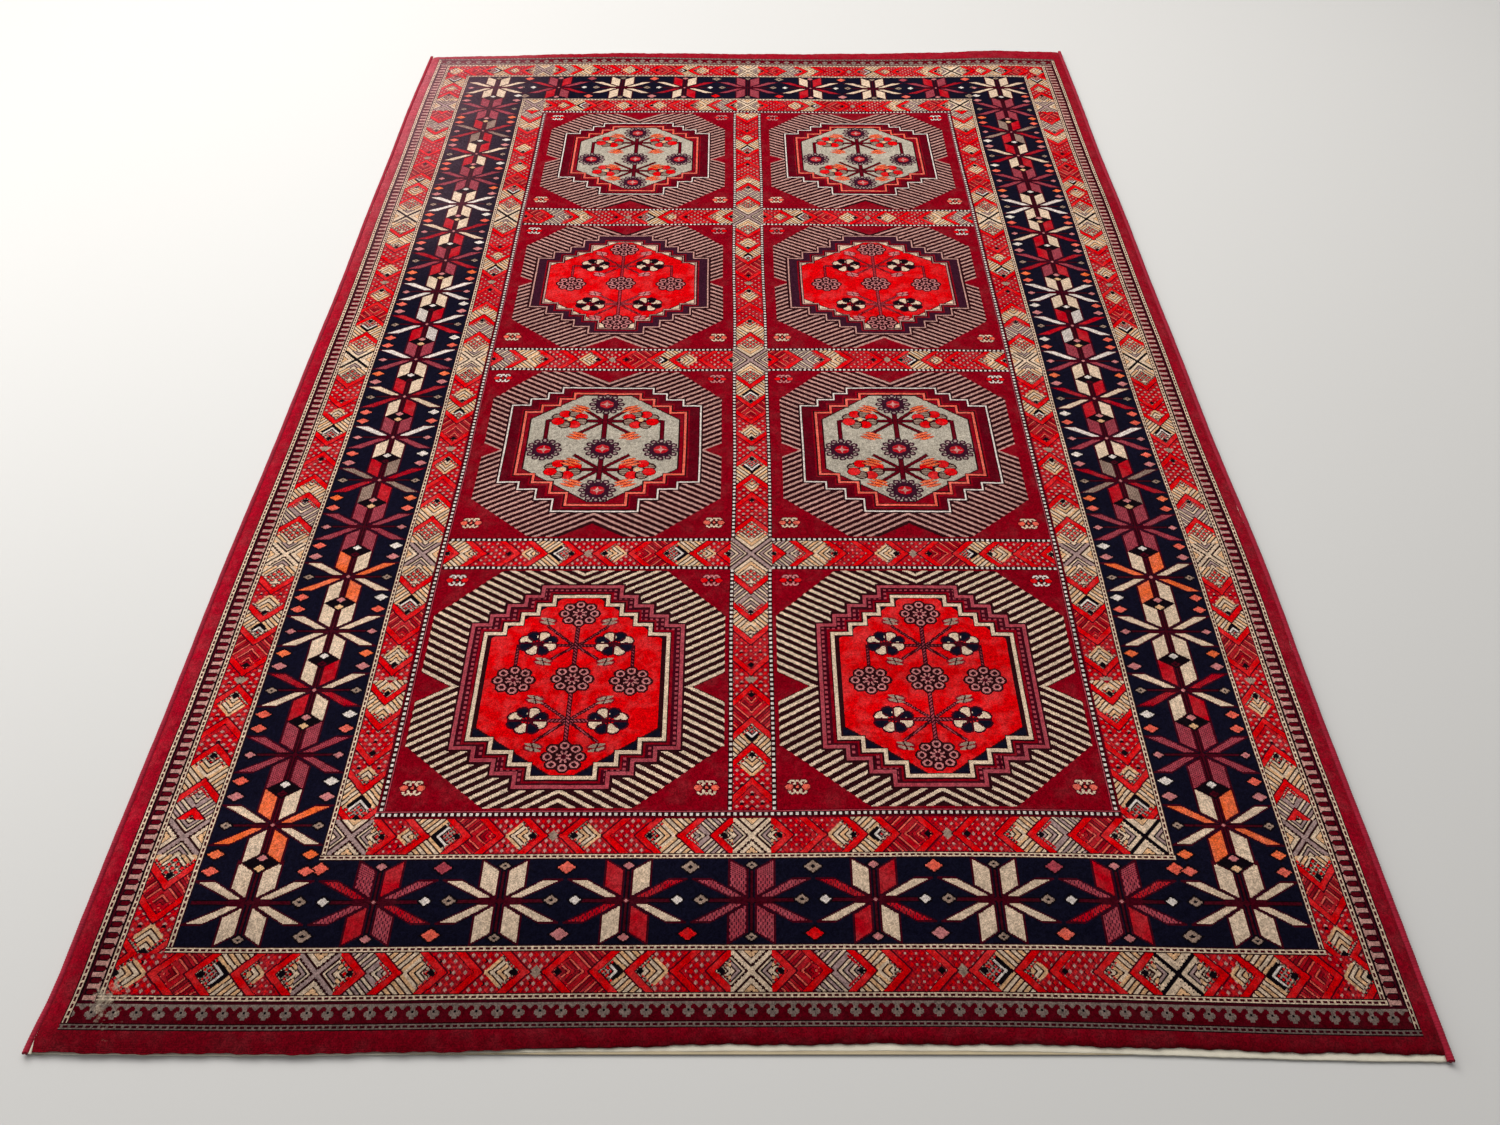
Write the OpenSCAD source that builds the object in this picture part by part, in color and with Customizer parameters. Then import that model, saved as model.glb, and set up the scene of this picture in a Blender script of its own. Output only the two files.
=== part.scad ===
// Area rug: a woven ground, wool pile laid out as five border rings, a lattice and
// eight gul panels, overcast side edges round a cord, and taped and stitched ends.
// Sizes are in millimetres. The origin is the middle of the underside. +X runs across
// the rug, +Y along it from the near end to the far end, and +Z up from the floor.

/* [Overall] */
// Width over the overcast side rolls
rug_w = 2000; // [1700:10:2600]
// Length over the taped ends
rug_l = 3000; // [2500:10:3900]

/* [Ground cloth] */
// Thickness of the size coat that stiffens the underside
size_coat_t = 0.5; // [0.3:0.1:1]
// Thickness of the lower ground weft
lower_weft_t = 0.8; // [0.5:0.1:1.5]
// Thickness of the stuffer warps
stuffer_t = 0.9; // [0.5:0.1:1.5]
// Thickness of the upper ground weft
upper_weft_t = 0.8; // [0.5:0.1:1.5]

/* [Pile] */
// Height of the cut pile above the ground cloth
pile_h = 8; // [4:0.5:14]

/* [Side edges] */
// Diameter of the cord inside the overcast roll
cord_d = 4.5; // [3:0.1:6]
// Thickness of the overcast yarn over the cord
overcast_t = 2.5; // [1:0.1:4]

/* [End hems] */
// Thickness of the hem tape
hem_tape_t = 0.6; // [0.3:0.1:1]
// Width of the tape's leg under the rug
hem_leg_w = 30; // [15:1:50]
// Width of the tape's lip that shows beyond the pile
hem_lip_w = 5; // [2:0.5:12]
// Distance from the end of the rug to the row of hem stitches
stitch_inset = 22; // [10:1:45]
// Length of one hem stitch
stitch_l = 14; // [6:1:18]
// Distance from one hem stitch to the next
stitch_pitch = 20; // [20:1:60]
// Width of the hem thread
thread_w = 0.8; // [0.4:0.1:2]

/* [Border rings along the sides] */
// Width of the plain edge band
edge_side_w = 25; // [15:2.5:40]
// Width of the tooth guard with its two bead lines
guard_side_w = 45; // [30:2.5:60]
// Width of the outer chevron border
outer_chevron_side_w = 60; // [40:2.5:90]
// Width of the star border with its two bead lines
star_side_w = 200; // [120:2.5:240]
// Width of the inner chevron border with its frame line
inner_chevron_side_w = 75; // [40:2.5:90]

/* [Border rings along the ends] */
// Length of the plain edge band
edge_end_w = 25; // [15:2.5:40]
// Length of the tooth guard with its two bead lines
guard_end_w = 50; // [30:2.5:60]
// Length of the outer chevron border
outer_chevron_end_w = 60; // [40:2.5:90]
// Length of the star border with its two bead lines
star_end_w = 155; // [120:2.5:240]
// Length of the inner chevron border with its frame line
inner_chevron_end_w = 75; // [40:2.5:90]

/* [Field] */
// Width of the lattice post between the two columns of panels
post_w = 80; // [60:2.5:120]
// Length of each lattice bar between the four rows of panels
bar_w = 80; // [60:2.5:120]

/* [Hidden] */
COLUMNS = 2;
ROWS = 4;
SIDES = ["left", "right"];
ENDS = ["near", "far"];
RINGS = ["edge_band", "tooth_guard", "outer_chevron", "star_border", "inner_chevron"];
RING_COLOURS = ["darkred", "rosybrown", "orangered", "midnightblue", "tomato"];
WEAVES = ["back_size_coat", "ground_weft_lower", "stuffer_warps", "ground_weft_upper"];
WEAVE_COLOURS = ["wheat", "burlywood", "tan", "indianred"];
// The size coat and the lower weft stop at the side rolls. The layers above run on in
LOWER_WEAVES = 2;
CORD_FACETS = 48;
ROLL_FACETS = 64;

// The four layers of the ground cloth, from the floor up
weave_ts = [size_coat_t, lower_weft_t, stuffer_t, upper_weft_t];
ground_t = sum(weave_ts, len(weave_ts));
selvedge_z = sum(weave_ts, LOWER_WEAVES);

// The overcast roll is a D in section, with its flat side against the pile
roll_h = ground_t + cord_d + overcast_t;
roll_x = rug_w / 2 - roll_h / 2;
pile_w = rug_w - 2 * roll_h;
pile_l = rug_l - 2 * hem_lip_w;

side_ws = [edge_side_w, guard_side_w, outer_chevron_side_w, star_side_w,
    inner_chevron_side_w];
end_ws = [edge_end_w, guard_end_w, outer_chevron_end_w, star_end_w,
    inner_chevron_end_w];
field_w = pile_w - 2 * sum(side_ws, len(side_ws));
field_l = pile_l - 2 * sum(end_ws, len(end_ws));
panel_w = (field_w - (COLUMNS - 1) * post_w) / COLUMNS;
panel_l = (field_l - (ROWS - 1) * bar_w) / ROWS;

stitch_count = floor((pile_w - stitch_pitch) / stitch_pitch);
// How far a cutting solid runs past the solid that it cuts
past = 1;

// The sum of the first n values
function sum(values, n) = n == 0 ? 0 : values[n - 1] + sum(values, n - 1);

// A box from its lowest corner to its highest
module block(low, high) {
    translate(low) cube(high - low);
}

// The same shape at the left side or at the right side
module at_side(side) {
    if (side == "right") children(); else mirror([1, 0, 0]) children();
}

// The same shape at the near end or at the far end
module at_end(end) {
    if (end == "far") children(); else mirror([0, 1, 0]) children();
}

// Layer number n of the ground cloth, counted from the floor up
module weave(n) {
    half_w = n < LOWER_WEAVES ? pile_w / 2 : roll_x;
    half_l = rug_l / 2;
    low_z = sum(weave_ts, n);
    color(WEAVE_COLOURS[n]) difference() {
        block([-half_w, -half_l, low_z], [half_w, half_l, low_z + weave_ts[n]]);
        for (end = ENDS) at_end(end) hem_fold(rug_w, past);
    }
}

// The space that the folded tape takes at the far end, as a U open towards the rug
module hem_fold(width, over) {
    end_y = rug_l / 2;
    block([-width / 2, end_y - hem_leg_w, -over], [width / 2, end_y + over, hem_tape_t]);
    block([-width / 2, end_y - hem_tape_t, -over],
        [width / 2, end_y + over, ground_t + hem_tape_t]);
}

// The tape folds round the end of the ground cloth and lips over its upper edge
module hem_tape(end) {
    end_y = rug_l / 2;
    color("cornsilk") at_end(end) difference() {
        union() {
            hem_fold(pile_w, 0);
            block([-pile_w / 2, end_y - hem_lip_w, ground_t],
                [pile_w / 2, end_y, ground_t + hem_tape_t]);
        }
        stitch_row(past);
    }
}

// The row of stitches through the tape's leg at the far end
module stitch_row(over) {
    first_x = -(stitch_count - 1) / 2 * stitch_pitch;
    stitch_y = rug_l / 2 - stitch_inset;
    for (i = [0 : stitch_count - 1])
        translate([first_x + i * stitch_pitch, stitch_y, 0])
            block([-stitch_l / 2, -thread_w / 2, -over],
                [stitch_l / 2, thread_w / 2, hem_tape_t]);
}

// Each stitch is a short run of thread set level with the tape's underside
module hem_stitches(end) {
    color("gainsboro") at_end(end) stitch_row(0);
}

// The filler cord lies on the selvedge, inside the roll
module side_cord(side) {
    color("linen") at_side(side)
        translate([roll_x, rug_l / 2, ground_t + cord_d / 2]) rotate([90, 0, 0])
            cylinder(h = rug_l, d = cord_d, $fn = CORD_FACETS);
}

// Overcast yarn wound round the cord and the selvedge, with the room that they take
module side_overcast(side) {
    color("crimson") at_side(side) rotate([90, 0, 0])
        translate([0, 0, -rug_l / 2]) linear_extrude(rug_l) difference() {
            union() {
                translate([roll_x, roll_h / 2]) circle(d = roll_h, $fn = ROLL_FACETS);
                translate([roll_x - roll_h / 2, 0]) square([roll_h / 2, roll_h]);
            }
            translate([roll_x, ground_t + cord_d / 2]) circle(d = cord_d, $fn = CORD_FACETS);
            translate([roll_x - cord_d / 2, ground_t]) square(cord_d / 2);
            translate([roll_x - roll_h / 2 - past, selvedge_z])
                square([roll_h / 2 + past, ground_t - selvedge_z]);
        }
}

// A block of pile standing on the ground cloth
module pile(x0, x1, y0, y1) {
    block([x0, y0, ground_t], [x1, y1, ground_t + pile_h]);
}

// Border rings run from the pile's edge inwards. The end pieces hold the corners
module ring_end(ring, end) {
    half_w = pile_w / 2 - sum(side_ws, ring);
    outer_y = pile_l / 2 - sum(end_ws, ring);
    color(RING_COLOURS[ring]) at_end(end)
        pile(-half_w, half_w, outer_y - end_ws[ring], outer_y);
}

// The side pieces run between the end pieces of the same ring
module ring_side(ring, side) {
    outer_x = pile_w / 2 - sum(side_ws, ring);
    half_l = pile_l / 2 - sum(end_ws, ring + 1);
    color(RING_COLOURS[ring]) at_side(side)
        pile(outer_x - side_ws[ring], outer_x, -half_l, half_l);
}

// One post runs the length of the field, between the two columns of panels
module lattice_post() {
    color("orangered") pile(-post_w / 2, post_w / 2, -field_l / 2, field_l / 2);
}

// Bars are counted from the near end, and each reaches from the post to the border
module lattice_bar(bar, side) {
    low_y = -field_l / 2 + bar * panel_l + (bar - 1) * bar_w;
    color("tomato") at_side(side) pile(post_w / 2, field_w / 2, low_y, low_y + bar_w);
}

// Panels are counted from the near left one, left to right and then away
module gul_panel(panel) {
    column = (panel - 1) % COLUMNS;
    row = floor((panel - 1) / COLUMNS);
    low_x = -field_w / 2 + column * (panel_w + post_w);
    low_y = -field_l / 2 + row * (panel_l + bar_w);
    color(row % 2 == 0 ? "firebrick" : "indianred")
        pile(low_x, low_x + panel_w, low_y, low_y + panel_l);
}

for (n = [0 : len(WEAVES) - 1])
    weave(n);
for (side = SIDES) {
    side_cord(side);
    side_overcast(side);
}
for (end = ENDS) {
    hem_tape(end);
    hem_stitches(end);
}
for (ring = [0 : len(RINGS) - 1]) {
    for (end = ENDS)
        ring_end(ring, end);
    for (side = SIDES)
        ring_side(ring, side);
}
lattice_post();
for (bar = [1 : ROWS - 1]) for (side = SIDES)
    lattice_bar(bar, side);
for (panel = [1 : ROWS * COLUMNS])
    gul_panel(panel);
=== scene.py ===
import math

import bmesh
import bpy
import numpy as np
from mathutils import Matrix, Vector


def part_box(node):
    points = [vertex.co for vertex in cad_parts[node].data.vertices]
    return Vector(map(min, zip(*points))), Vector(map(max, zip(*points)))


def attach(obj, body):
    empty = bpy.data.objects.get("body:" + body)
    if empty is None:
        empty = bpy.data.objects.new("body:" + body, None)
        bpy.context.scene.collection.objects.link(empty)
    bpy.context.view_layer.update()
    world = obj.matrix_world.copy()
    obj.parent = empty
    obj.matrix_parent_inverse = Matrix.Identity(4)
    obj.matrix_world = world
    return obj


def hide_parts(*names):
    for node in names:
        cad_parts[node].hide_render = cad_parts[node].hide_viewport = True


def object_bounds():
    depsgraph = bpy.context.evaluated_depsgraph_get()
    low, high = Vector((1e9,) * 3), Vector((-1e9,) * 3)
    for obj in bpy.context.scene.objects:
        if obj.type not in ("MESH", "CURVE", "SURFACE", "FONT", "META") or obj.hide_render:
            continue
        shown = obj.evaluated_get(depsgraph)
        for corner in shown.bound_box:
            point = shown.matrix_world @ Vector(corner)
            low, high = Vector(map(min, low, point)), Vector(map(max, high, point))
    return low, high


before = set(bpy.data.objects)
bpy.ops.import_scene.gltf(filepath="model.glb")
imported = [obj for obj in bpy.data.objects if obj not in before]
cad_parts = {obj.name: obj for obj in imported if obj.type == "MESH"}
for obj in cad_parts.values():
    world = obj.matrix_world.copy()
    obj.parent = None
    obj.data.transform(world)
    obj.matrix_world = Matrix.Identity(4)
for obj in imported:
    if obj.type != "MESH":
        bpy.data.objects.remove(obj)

cad_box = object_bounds()
MM = 0.001

# --- Sizes, in millimetres -----------------------------------------------------------
# The middle of the rug is the origin. A knot of the pile is a third of a tuft cell, and
# a cell is one face of the pile meshes.

CELL = 5.0
KNOTS_PER_CELL = 3
KNOT = CELL / KNOTS_PER_CELL


def laid_size(node):
    """How wide, how long and how thick a node is."""
    low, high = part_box(node)
    return [round(size / MM, 3) for size in high - low]


RUG_W, RUG_L = (2.0 * round(reach / MM) for reach in cad_box[1][:2])
PILE_W, EDGE_W, _ = laid_size("edge_band_near")
PILE_L = laid_size("edge_band_left")[1] + 2 * EDGE_W
LIP_W = (RUG_L - PILE_L) / 2
TAPE_T = 0.6
# From the edges of the rug to the design
PLAIN_SIDE = (RUG_W - laid_size("tooth_guard_near")[0]) / 2
PLAIN_END = LIP_W + EDGE_W
POST, FIELD_L, _ = laid_size("lattice_post")
PANEL_W, PANEL_L, _ = laid_size("gul_panel_1")
BAR = laid_size("lattice_bar_1_left")[1]
FIELD_W = 2 * PANEL_W + POST
# Where the panels are centred and where the lattice runs
COLUMN_X = [-(PANEL_W + POST) / 2, (PANEL_W + POST) / 2]
ROW_Y = [(row - 1.5) * (PANEL_L + BAR) for row in range(4)]
LATTICE_Y_LINES = [(row - 1) * (PANEL_L + BAR) for row in range(3)]

# --- The design, knot by knot --------------------------------------------------------

# Each yarn's dyed colour as it looks in daylight, from 0 to 255
YARNS = {
    "crimson": (138, 4, 22),
    "scarlet": (226, 18, 22),
    "navy": (17, 17, 33),
    "cream": (230, 200, 170),
    "taupe": (166, 138, 120),
    "maroon": (70, 8, 22),
    "rose": (176, 70, 80),
    "salmon": (240, 104, 84),
    "sage": (184, 172, 154),
    "aubergine": (58, 22, 38),
    "black": (16, 10, 16),
    "chalk": (232, 216, 204),
    "sand": (234, 182, 134),
    "ash": (170, 140, 134),
    "brick": (150, 14, 28),
    "pink": (206, 126, 124),
    "orange": (246, 112, 66),
    "wine": (96, 4, 20),
    "garnet": (152, 8, 30),
    "stone": (138, 118, 108),
    "bark": (46, 14, 18),
    "clay": (190, 26, 36),
    "blush": (200, 148, 136),
}
YARN_NUMBER = {name: number for number, name in enumerate(YARNS)}


class Cartoon:
    """The weaver's squared drawing: the yarn of every knot, rows from the near end."""

    def __init__(self):
        rows, columns = round(RUG_L / KNOT), round(RUG_W / KNOT)
        self.yarn = np.full((rows, columns), YARN_NUMBER["garnet"], np.uint8)

    def patch(self, x0, x1, y0, y1):
        """The knots inside a rectangle."""
        columns = [round((x + RUG_W / 2) / KNOT) for x in (x0, x1)]
        rows = [round((y + RUG_L / 2) / KNOT) for y in (y0, y1)]
        view = self.yarn[max(rows[0], 0):rows[1], max(columns[0], 0):columns[1]]
        across = (np.arange(view.shape[1]) + max(columns[0], 0) + 0.5) * KNOT - RUG_W / 2
        along = (np.arange(view.shape[0]) + max(rows[0], 0) + 0.5) * KNOT - RUG_L / 2
        return Patch(view, *np.meshgrid(across, along))


class Patch:
    """Some knots of the cartoon, with each knot's place."""

    def __init__(self, knots, x, y):
        self.knots, self.x, self.y = knots, x, y

    def about(self, x, y, flip_x=1, flip_y=1):
        """The same knots, measured from another middle."""
        return Patch(self.knots, (self.x - x) * flip_x, (self.y - y) * flip_y)

    def turned(self):
        """The same knots with the two directions swapped, for a strip along a side."""
        return Patch(self.knots, self.y, self.x)

    def near(self, half_w, half_h, x=0.0):
        """Only the knots in a window about (x, 0), which is quicker to draw on."""
        rows = np.flatnonzero((np.abs(self.y) <= half_h).any(1))
        columns = np.flatnonzero((np.abs(self.x - x) <= half_w).any(0))
        if not len(rows) or not len(columns):
            return Patch(self.knots[:0], self.x[:0], self.y[:0])
        cut = (slice(rows[0], rows[-1] + 1), slice(columns[0], columns[-1] + 1))
        return Patch(self.knots[cut], self.x[cut], self.y[cut])

    def weave(self, where, yarn):
        self.knots[where] = YARN_NUMBER[yarn]


# Shapes, as masks over a patch

def oval(p, x, y, rx, ry):
    return ((p.x - x) / rx) ** 2 + ((p.y - y) / ry) ** 2 < 1


def lozenge(p, x, y, rx, ry):
    return np.abs(p.x - x) / rx + np.abs(p.y - y) / ry < 1


def slab(p, x0, x1, y0, y1):
    return (p.x > x0) & (p.x < x1) & (p.y > y0) & (p.y < y1)


def stroke(p, x0, y0, x1, y1, width):
    """A straight line of even width with square ends."""
    length = math.hypot(x1 - x0, y1 - y0)
    ux, uy = (x1 - x0) / length, (y1 - y0) / length
    along = (p.x - x0) * ux + (p.y - y0) * uy
    off = np.abs((p.y - y0) * ux - (p.x - x0) * uy)
    return (along > 0) & (along < length) & (off < width / 2)


def blade(p, thin, rim=0.0):
    """A slanting petal with level ends, narrower at its root."""
    tip_x, tip_y, width = thin
    part = (p.y - 5.0) / (tip_y - 5.0)
    middle = 22.0 + (tip_x - width - 22.0) * part
    half = width * (0.72 + 0.28 * part) + 1.4 * rim
    return (p.y > 5.0 - rim) & (p.y < tip_y + rim) & (np.abs(p.x - middle) < half)


def leaf(p, x0, y0, x1, y1, width):
    """A slender leaf with slanted ends, widest in the middle."""
    length = math.hypot(x1 - x0, y1 - y0)
    ux, uy = (x1 - x0) / length, (y1 - y0) / length
    along = ((p.x - x0) * ux + (p.y - y0) * uy) / length
    off = np.abs((p.y - y0) * ux - (p.x - x0) * uy)
    swell = np.clip(4 * along * (1 - along), 0, 1) ** 0.6
    return (along > 0) & (along < 1) & (off < width / 2 * swell)


BEAD_LINE_W = 10.0


def beaded(p, yarn):
    """A narrow line along x with a row of dark beads down its middle."""
    half, step = BEAD_LINE_W / 2, KNOT * 6
    p.weave(np.abs(p.y) < half, "bark")
    p.weave(np.abs(p.y) < half * 0.72, yarn)
    p.weave((np.abs(p.y) < half * 0.45) & (np.mod(p.x, step) < step * 0.6), "maroon")


def studded(p, half):
    """The frame line round a panel: white studs on a dark line."""
    p.weave(np.abs(p.y) < half, "bark")
    p.weave((np.abs(p.y) < 2.6) & (np.mod(p.x, KNOT * 6) < KNOT * 3), "chalk")


# Chevron strips ---------------------------------------------------------------------
# A strip is a row of stretches. Each runs from a middle, where chevrons face each other,
# to a crossing, where a large saltire sits. Places are measured along the strip

CHEVRON_STARTS = [9.0, 76.0, 128.0, 194.0, 246.0]
CHEVRON_W = 13.0
CHEVRON_SLOPE = 1.05
SALTIRE_REACH = 62.0
# Bars that fill a cell between two chevrons: (width, finish), over and over
BARS = {
    "sand": [(6.7, "sand"), (3.3, "bark"), (6.7, "cream"), (3.3, "bark")],
    "ash": [(5.0, "ash"), (3.3, "bark"), (5.0, "cream"), (3.3, "black")],
    "night": [(10.0, "black"), (5.0, "chalk"), (3.3, "bark"), (30.0, "pepper")],
    "field": [(60.0, "flecked")],
    "red": [(5.0, "clay"), (1.7, "wine"), (3.3, "salmon"), (3.3, "wine"), (5.0, "brick"),
            (1.7, "bark")],
    "pale": [(6.7, "cream"), (3.3, "bark"), (6.7, "sand"), (3.3, "black"), (5.0, "cream"),
             (3.3, "bark"), (30.0, "mottled")],
}
# The kinds of cell in turn, and what fills the corners beside each kind's diamond
CELL_KINDS = ["sand", "red", "night", "sand", "field", "pale", "ash", "red"]
CORNER_KINDS = {"sand": "field", "field": "field", "night": "sand", "ash": "ash",
                "pale": "sand", "red": "red"}
# The saltires' yarns in turn
SALTIRES = ["ash", "cream", "black", "black"]
# Mixtures: two checked yarns, a fleck and its pitch, a dot and its pitch
FLECKS = {
    "flecked": ("brick", "clay", "blush", 16.7, "black", 33.3),
    "pepper": ("ash", "bark", "taupe", 10.0, "black", 13.3),
    "mottled": ("taupe", "bark", "cream", 13.3, "clay", 16.7),
}


def checked(p, one, other):
    """Two yarns in a small check."""
    even = np.mod(np.floor(p.x / KNOT / 2) + np.floor(p.y / KNOT / 2), 2) < 1
    return np.where(even, YARN_NUMBER[one], YARN_NUMBER[other]).astype(np.uint8)


def lay(p, where, finish):
    """Weaves a plain yarn, or one of the flecked mixtures."""
    if finish not in FLECKS:
        p.weave(where, finish)
        return
    one, other, fleck, step, dot, far = FLECKS[finish]
    p.knots[where] = checked(p, one, other)[where]
    for yarn, pitch, shift, wide in ((fleck, step, 0.0, 0.36), (dot, far, 8.3, 0.24),
                                     ("scarlet", step, step / 2, 0.42)):
        speck = np.mod(p.x + p.y + shift, pitch) < pitch * wide
        speck &= np.mod(p.x - p.y + shift, pitch) < pitch * wide
        p.weave(where & speck, yarn)


def striped(p, where, depth, bars):
    """Fills with bars, by how deep each knot lies under one edge."""
    period = sum(width for width, _ in bars)
    depth = np.mod(depth, period)
    start = 0.0
    for width, finish in bars:
        lay(p, where & (depth >= start) & (depth < start + width), finish)
        start += width


def cell(p, under, over, start, stop, kind):
    """What lies between the chevron at start and the one at stop, inside under."""
    room = (under >= start) & (under < stop)
    diamond = room & (over < stop)
    striped(p, room & ~diamond, over - stop, BARS[CORNER_KINDS[kind]])
    striped(p, diamond, stop - over, BARS[kind])
    inner = under - start
    if kind in ("sand", "night", "pale"):
        lay(p, diamond & (inner < 9), "mottled")
    else:
        p.weave(diamond & (np.abs(inner - 5.5) < 2.2), "clay")


def stretch(p, t, half, length, kinds):
    """The chevrons from a middle (t is 0) to a crossing (t is length)."""
    rise = CHEVRON_SLOPE * np.abs(p.y)
    part = (t >= 0) & (t <= length) & (np.abs(p.y) < half)
    under, over = np.where(part, t - rise, -np.inf), t + rise
    starts = [start for start in CHEVRON_STARTS if start < length - SALTIRE_REACH * 0.8]
    lay(p, part & (under < starts[0]), "flecked")
    p.weave(part & (over < starts[0] + 1), "taupe")
    for number, start in enumerate(starts):
        stop, kind = length - 8.0, "pale"
        if number + 1 < len(starts):
            stop, kind = starts[number + 1], kinds[number]
        cell(p, under, over, start + CHEVRON_W, stop, kind)
        if number % 2 == 0:
            eye = start + CHEVRON_W + 10
            p.weave(np.abs(t - eye) + np.abs(p.y) < 6.5, "black")
        p.weave((under >= start - 3.4) & (under < start + CHEVRON_W + 1.7), "maroon")
        p.weave((under >= start) & (under < start + CHEVRON_W), "scarlet")


def chevrons(p, half, middles, crossings, turn):
    """A strip along x, from the places of its middles and of its crossings. turn says
    which kind of cell comes first."""
    marks = sorted([(x, "middle") for x in middles] + [(x, "cross") for x in crossings])
    for (x0, first), (x1, _) in zip(marks, marks[1:]):
        kinds = CELL_KINDS[turn % 5:] + CELL_KINDS[:turn % 5]
        turn += 3
        q = p.near((x1 - x0) / 2, half * 2, (x0 + x1) / 2)
        if q.knots.size:
            t = q.x - x0 if first == "middle" else x1 - q.x
            stretch(q, t, half, x1 - x0, kinds)
    for x, yarn in zip(crossings, SALTIRES * 2):
        crossing(p.about(x, 0).near(half * 1.05, half), half, yarn)


def crossing(p, half, yarn):
    """The large saltire where strips cross."""
    inside = slab(p, -half, half, -half, half)
    wide, tall = np.abs(p.x), np.abs(p.y)
    depth = np.abs(wide - tall)
    striped(p, inside & (wide > tall), depth, BARS["ash"])
    striped(p, inside & (wide <= tall), depth, BARS["sand"])
    p.weave(inside & (depth < 9.5), "cream" if yarn == "black" else "bark")
    p.weave(inside & (depth < 5.0), yarn)


# Star border ------------------------------------------------------------------------
# A star's yarns: its four fat petals, then its four thin ones, each from the upper left,
# clockwise

STARS = {
    "cream": ("cream",) * 8,
    "rose": ("hatched_rose",) * 8,
    "pale": ("cream",) * 4 + ("chalk",) * 4,
    "rose_cream": ("hatched_rose",) * 2 + ("cream",) * 2 + ("chalk",) * 2
    + ("hatched_rose",) * 2,
    "red_white": ("hatched_white", "clay") * 2 + ("clay", "chalk") * 2,
    "red_rose": ("hatched_rose", "clay") * 2 + ("hatched_red", "hatched_rose") * 2,
    "red_cream": ("clay", "cream") * 2 + ("cream", "hatched_red") * 2,
    "orange_cream": ("orange", "cream") * 2 + ("cream", "orange") * 2,
    "cream_red": ("cream", "clay") * 2 + ("hatched_red", "cream") * 2,
    "red_ash": ("clay", "hatched_ash") * 2 + ("hatched_ash", "hatched_red") * 2,
}

HATCHED = {"hatched_rose": "rose", "hatched_ash": "taupe", "hatched_white": "chalk",
           "hatched_red": "clay"}


def petal(p, where, finish):
    """A petal's own yarn, or one that is hatched with dark knots."""
    p.weave(where, HATCHED.get(finish, finish))
    if finish in HATCHED:
        gap = np.mod(np.floor(p.x / KNOT) + 2 * np.floor(p.y / KNOT), 4) < 1
        p.weave(where & gap, "aubergine")


def star(p, kind, fat, thin):
    """An eight-petalled star. fat is (inner x, outer x, inner y, outer y) of the fat
    petals, and thin is (tip x, tip y, width) of the thin ones."""
    x0, x1, y0, y1 = fat
    p = p.near(thin[0] + 6, y1 + 8)
    edge = 3.0
    for yarn, across, along in (("black", 4, 3.4), ("maroon", 2.5, 1.7)):
        p.weave(slab(p, -across, across, -y1 + 2, y1 - 2), yarn)
        p.weave(slab(p, -thin[0], thin[0], -along, along), yarn)
    quarters = [(-1, 1), (1, 1), (1, -1), (-1, -1)]
    for number, (sx, sy) in enumerate(quarters):
        q = p.about(0, 0, sx, sy)
        lean = (x1 - x0) * 0.62
        slant = y0 + (q.x - x0) / (x1 - x0) * lean
        top = slant - y0 + y1 - lean * 0.75
        rim = slab(q, x0 - edge, x1 + edge, slant - edge, top + edge)
        p.weave(rim, "maroon")
        petal(p, slab(q, x0, x1, slant, top), STARS[kind][number])
        p.weave(blade(q, thin, edge) & ~rim, "maroon")
        petal(p, blade(q, thin) & ~rim, STARS[kind][4 + number])
    p.weave(lozenge(p, 0, 0, 6, 6), "maroon")
    p.weave(lozenge(p, 0, 0, 4, 4), "pink" if "_" in kind else "maroon")


def small_diamond(p, x, y, yarn, rx=14.0, ry=10.0):
    """A diamond with a dark rim, and a dark eye in the duller yarns."""
    p = p.about(x, y).near(rx + 5, ry + 5)
    p.weave(lozenge(p, 0, 0, rx + 4, ry + 4), "black")
    p.weave(lozenge(p, 0, 0, rx, ry), yarn)
    if yarn in ("taupe", "maroon"):
        p.weave(lozenge(p, 0, 0, rx * 0.35, ry * 0.35), "black")


# Gul panels -------------------------------------------------------------------------

def stepped(p, up, down, less=0.0):
    """Inside a stepped frame. up and down list (height, half width) from the outermost
    step inwards, above and below the middle; less draws the frame in all round."""
    inside = np.zeros(p.x.shape, bool)
    wide = np.abs(p.x)
    for side, steps in ((1, up), (-1, down)):
        for height, half_w in steps:
            inside |= (side * p.y >= 0) & (side * p.y < height - less) & (wide < half_w - less)
    return inside


def eight_sided(p, up, down, side, top, bottom, grow=0.0):
    """Inside an upright octagon: up and down are where its sides end, and top and bottom
    are its half widths at the ends."""
    (top_y, top_w), (low_y, low_w) = top, bottom
    wide = np.abs(p.x)
    upper = side - (p.y - up) * (side - top_w) / (top_y - up)
    lower = side - (-p.y - down) * (side - low_w) / (low_y - down)
    return ((wide < side + grow) & (p.y < top_y + grow) & (-p.y < low_y + grow)
            & (wide < upper + grow * 1.3) & (wide < lower + grow * 1.3))


def round_the_middle(count, rx, ry, first=0.0):
    """Evenly spaced places on an oval."""
    turns = [2 * math.pi * (number + first) / count for number in range(count)]
    return [(rx * math.cos(turn), ry * math.sin(turn)) for turn in turns]


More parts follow.
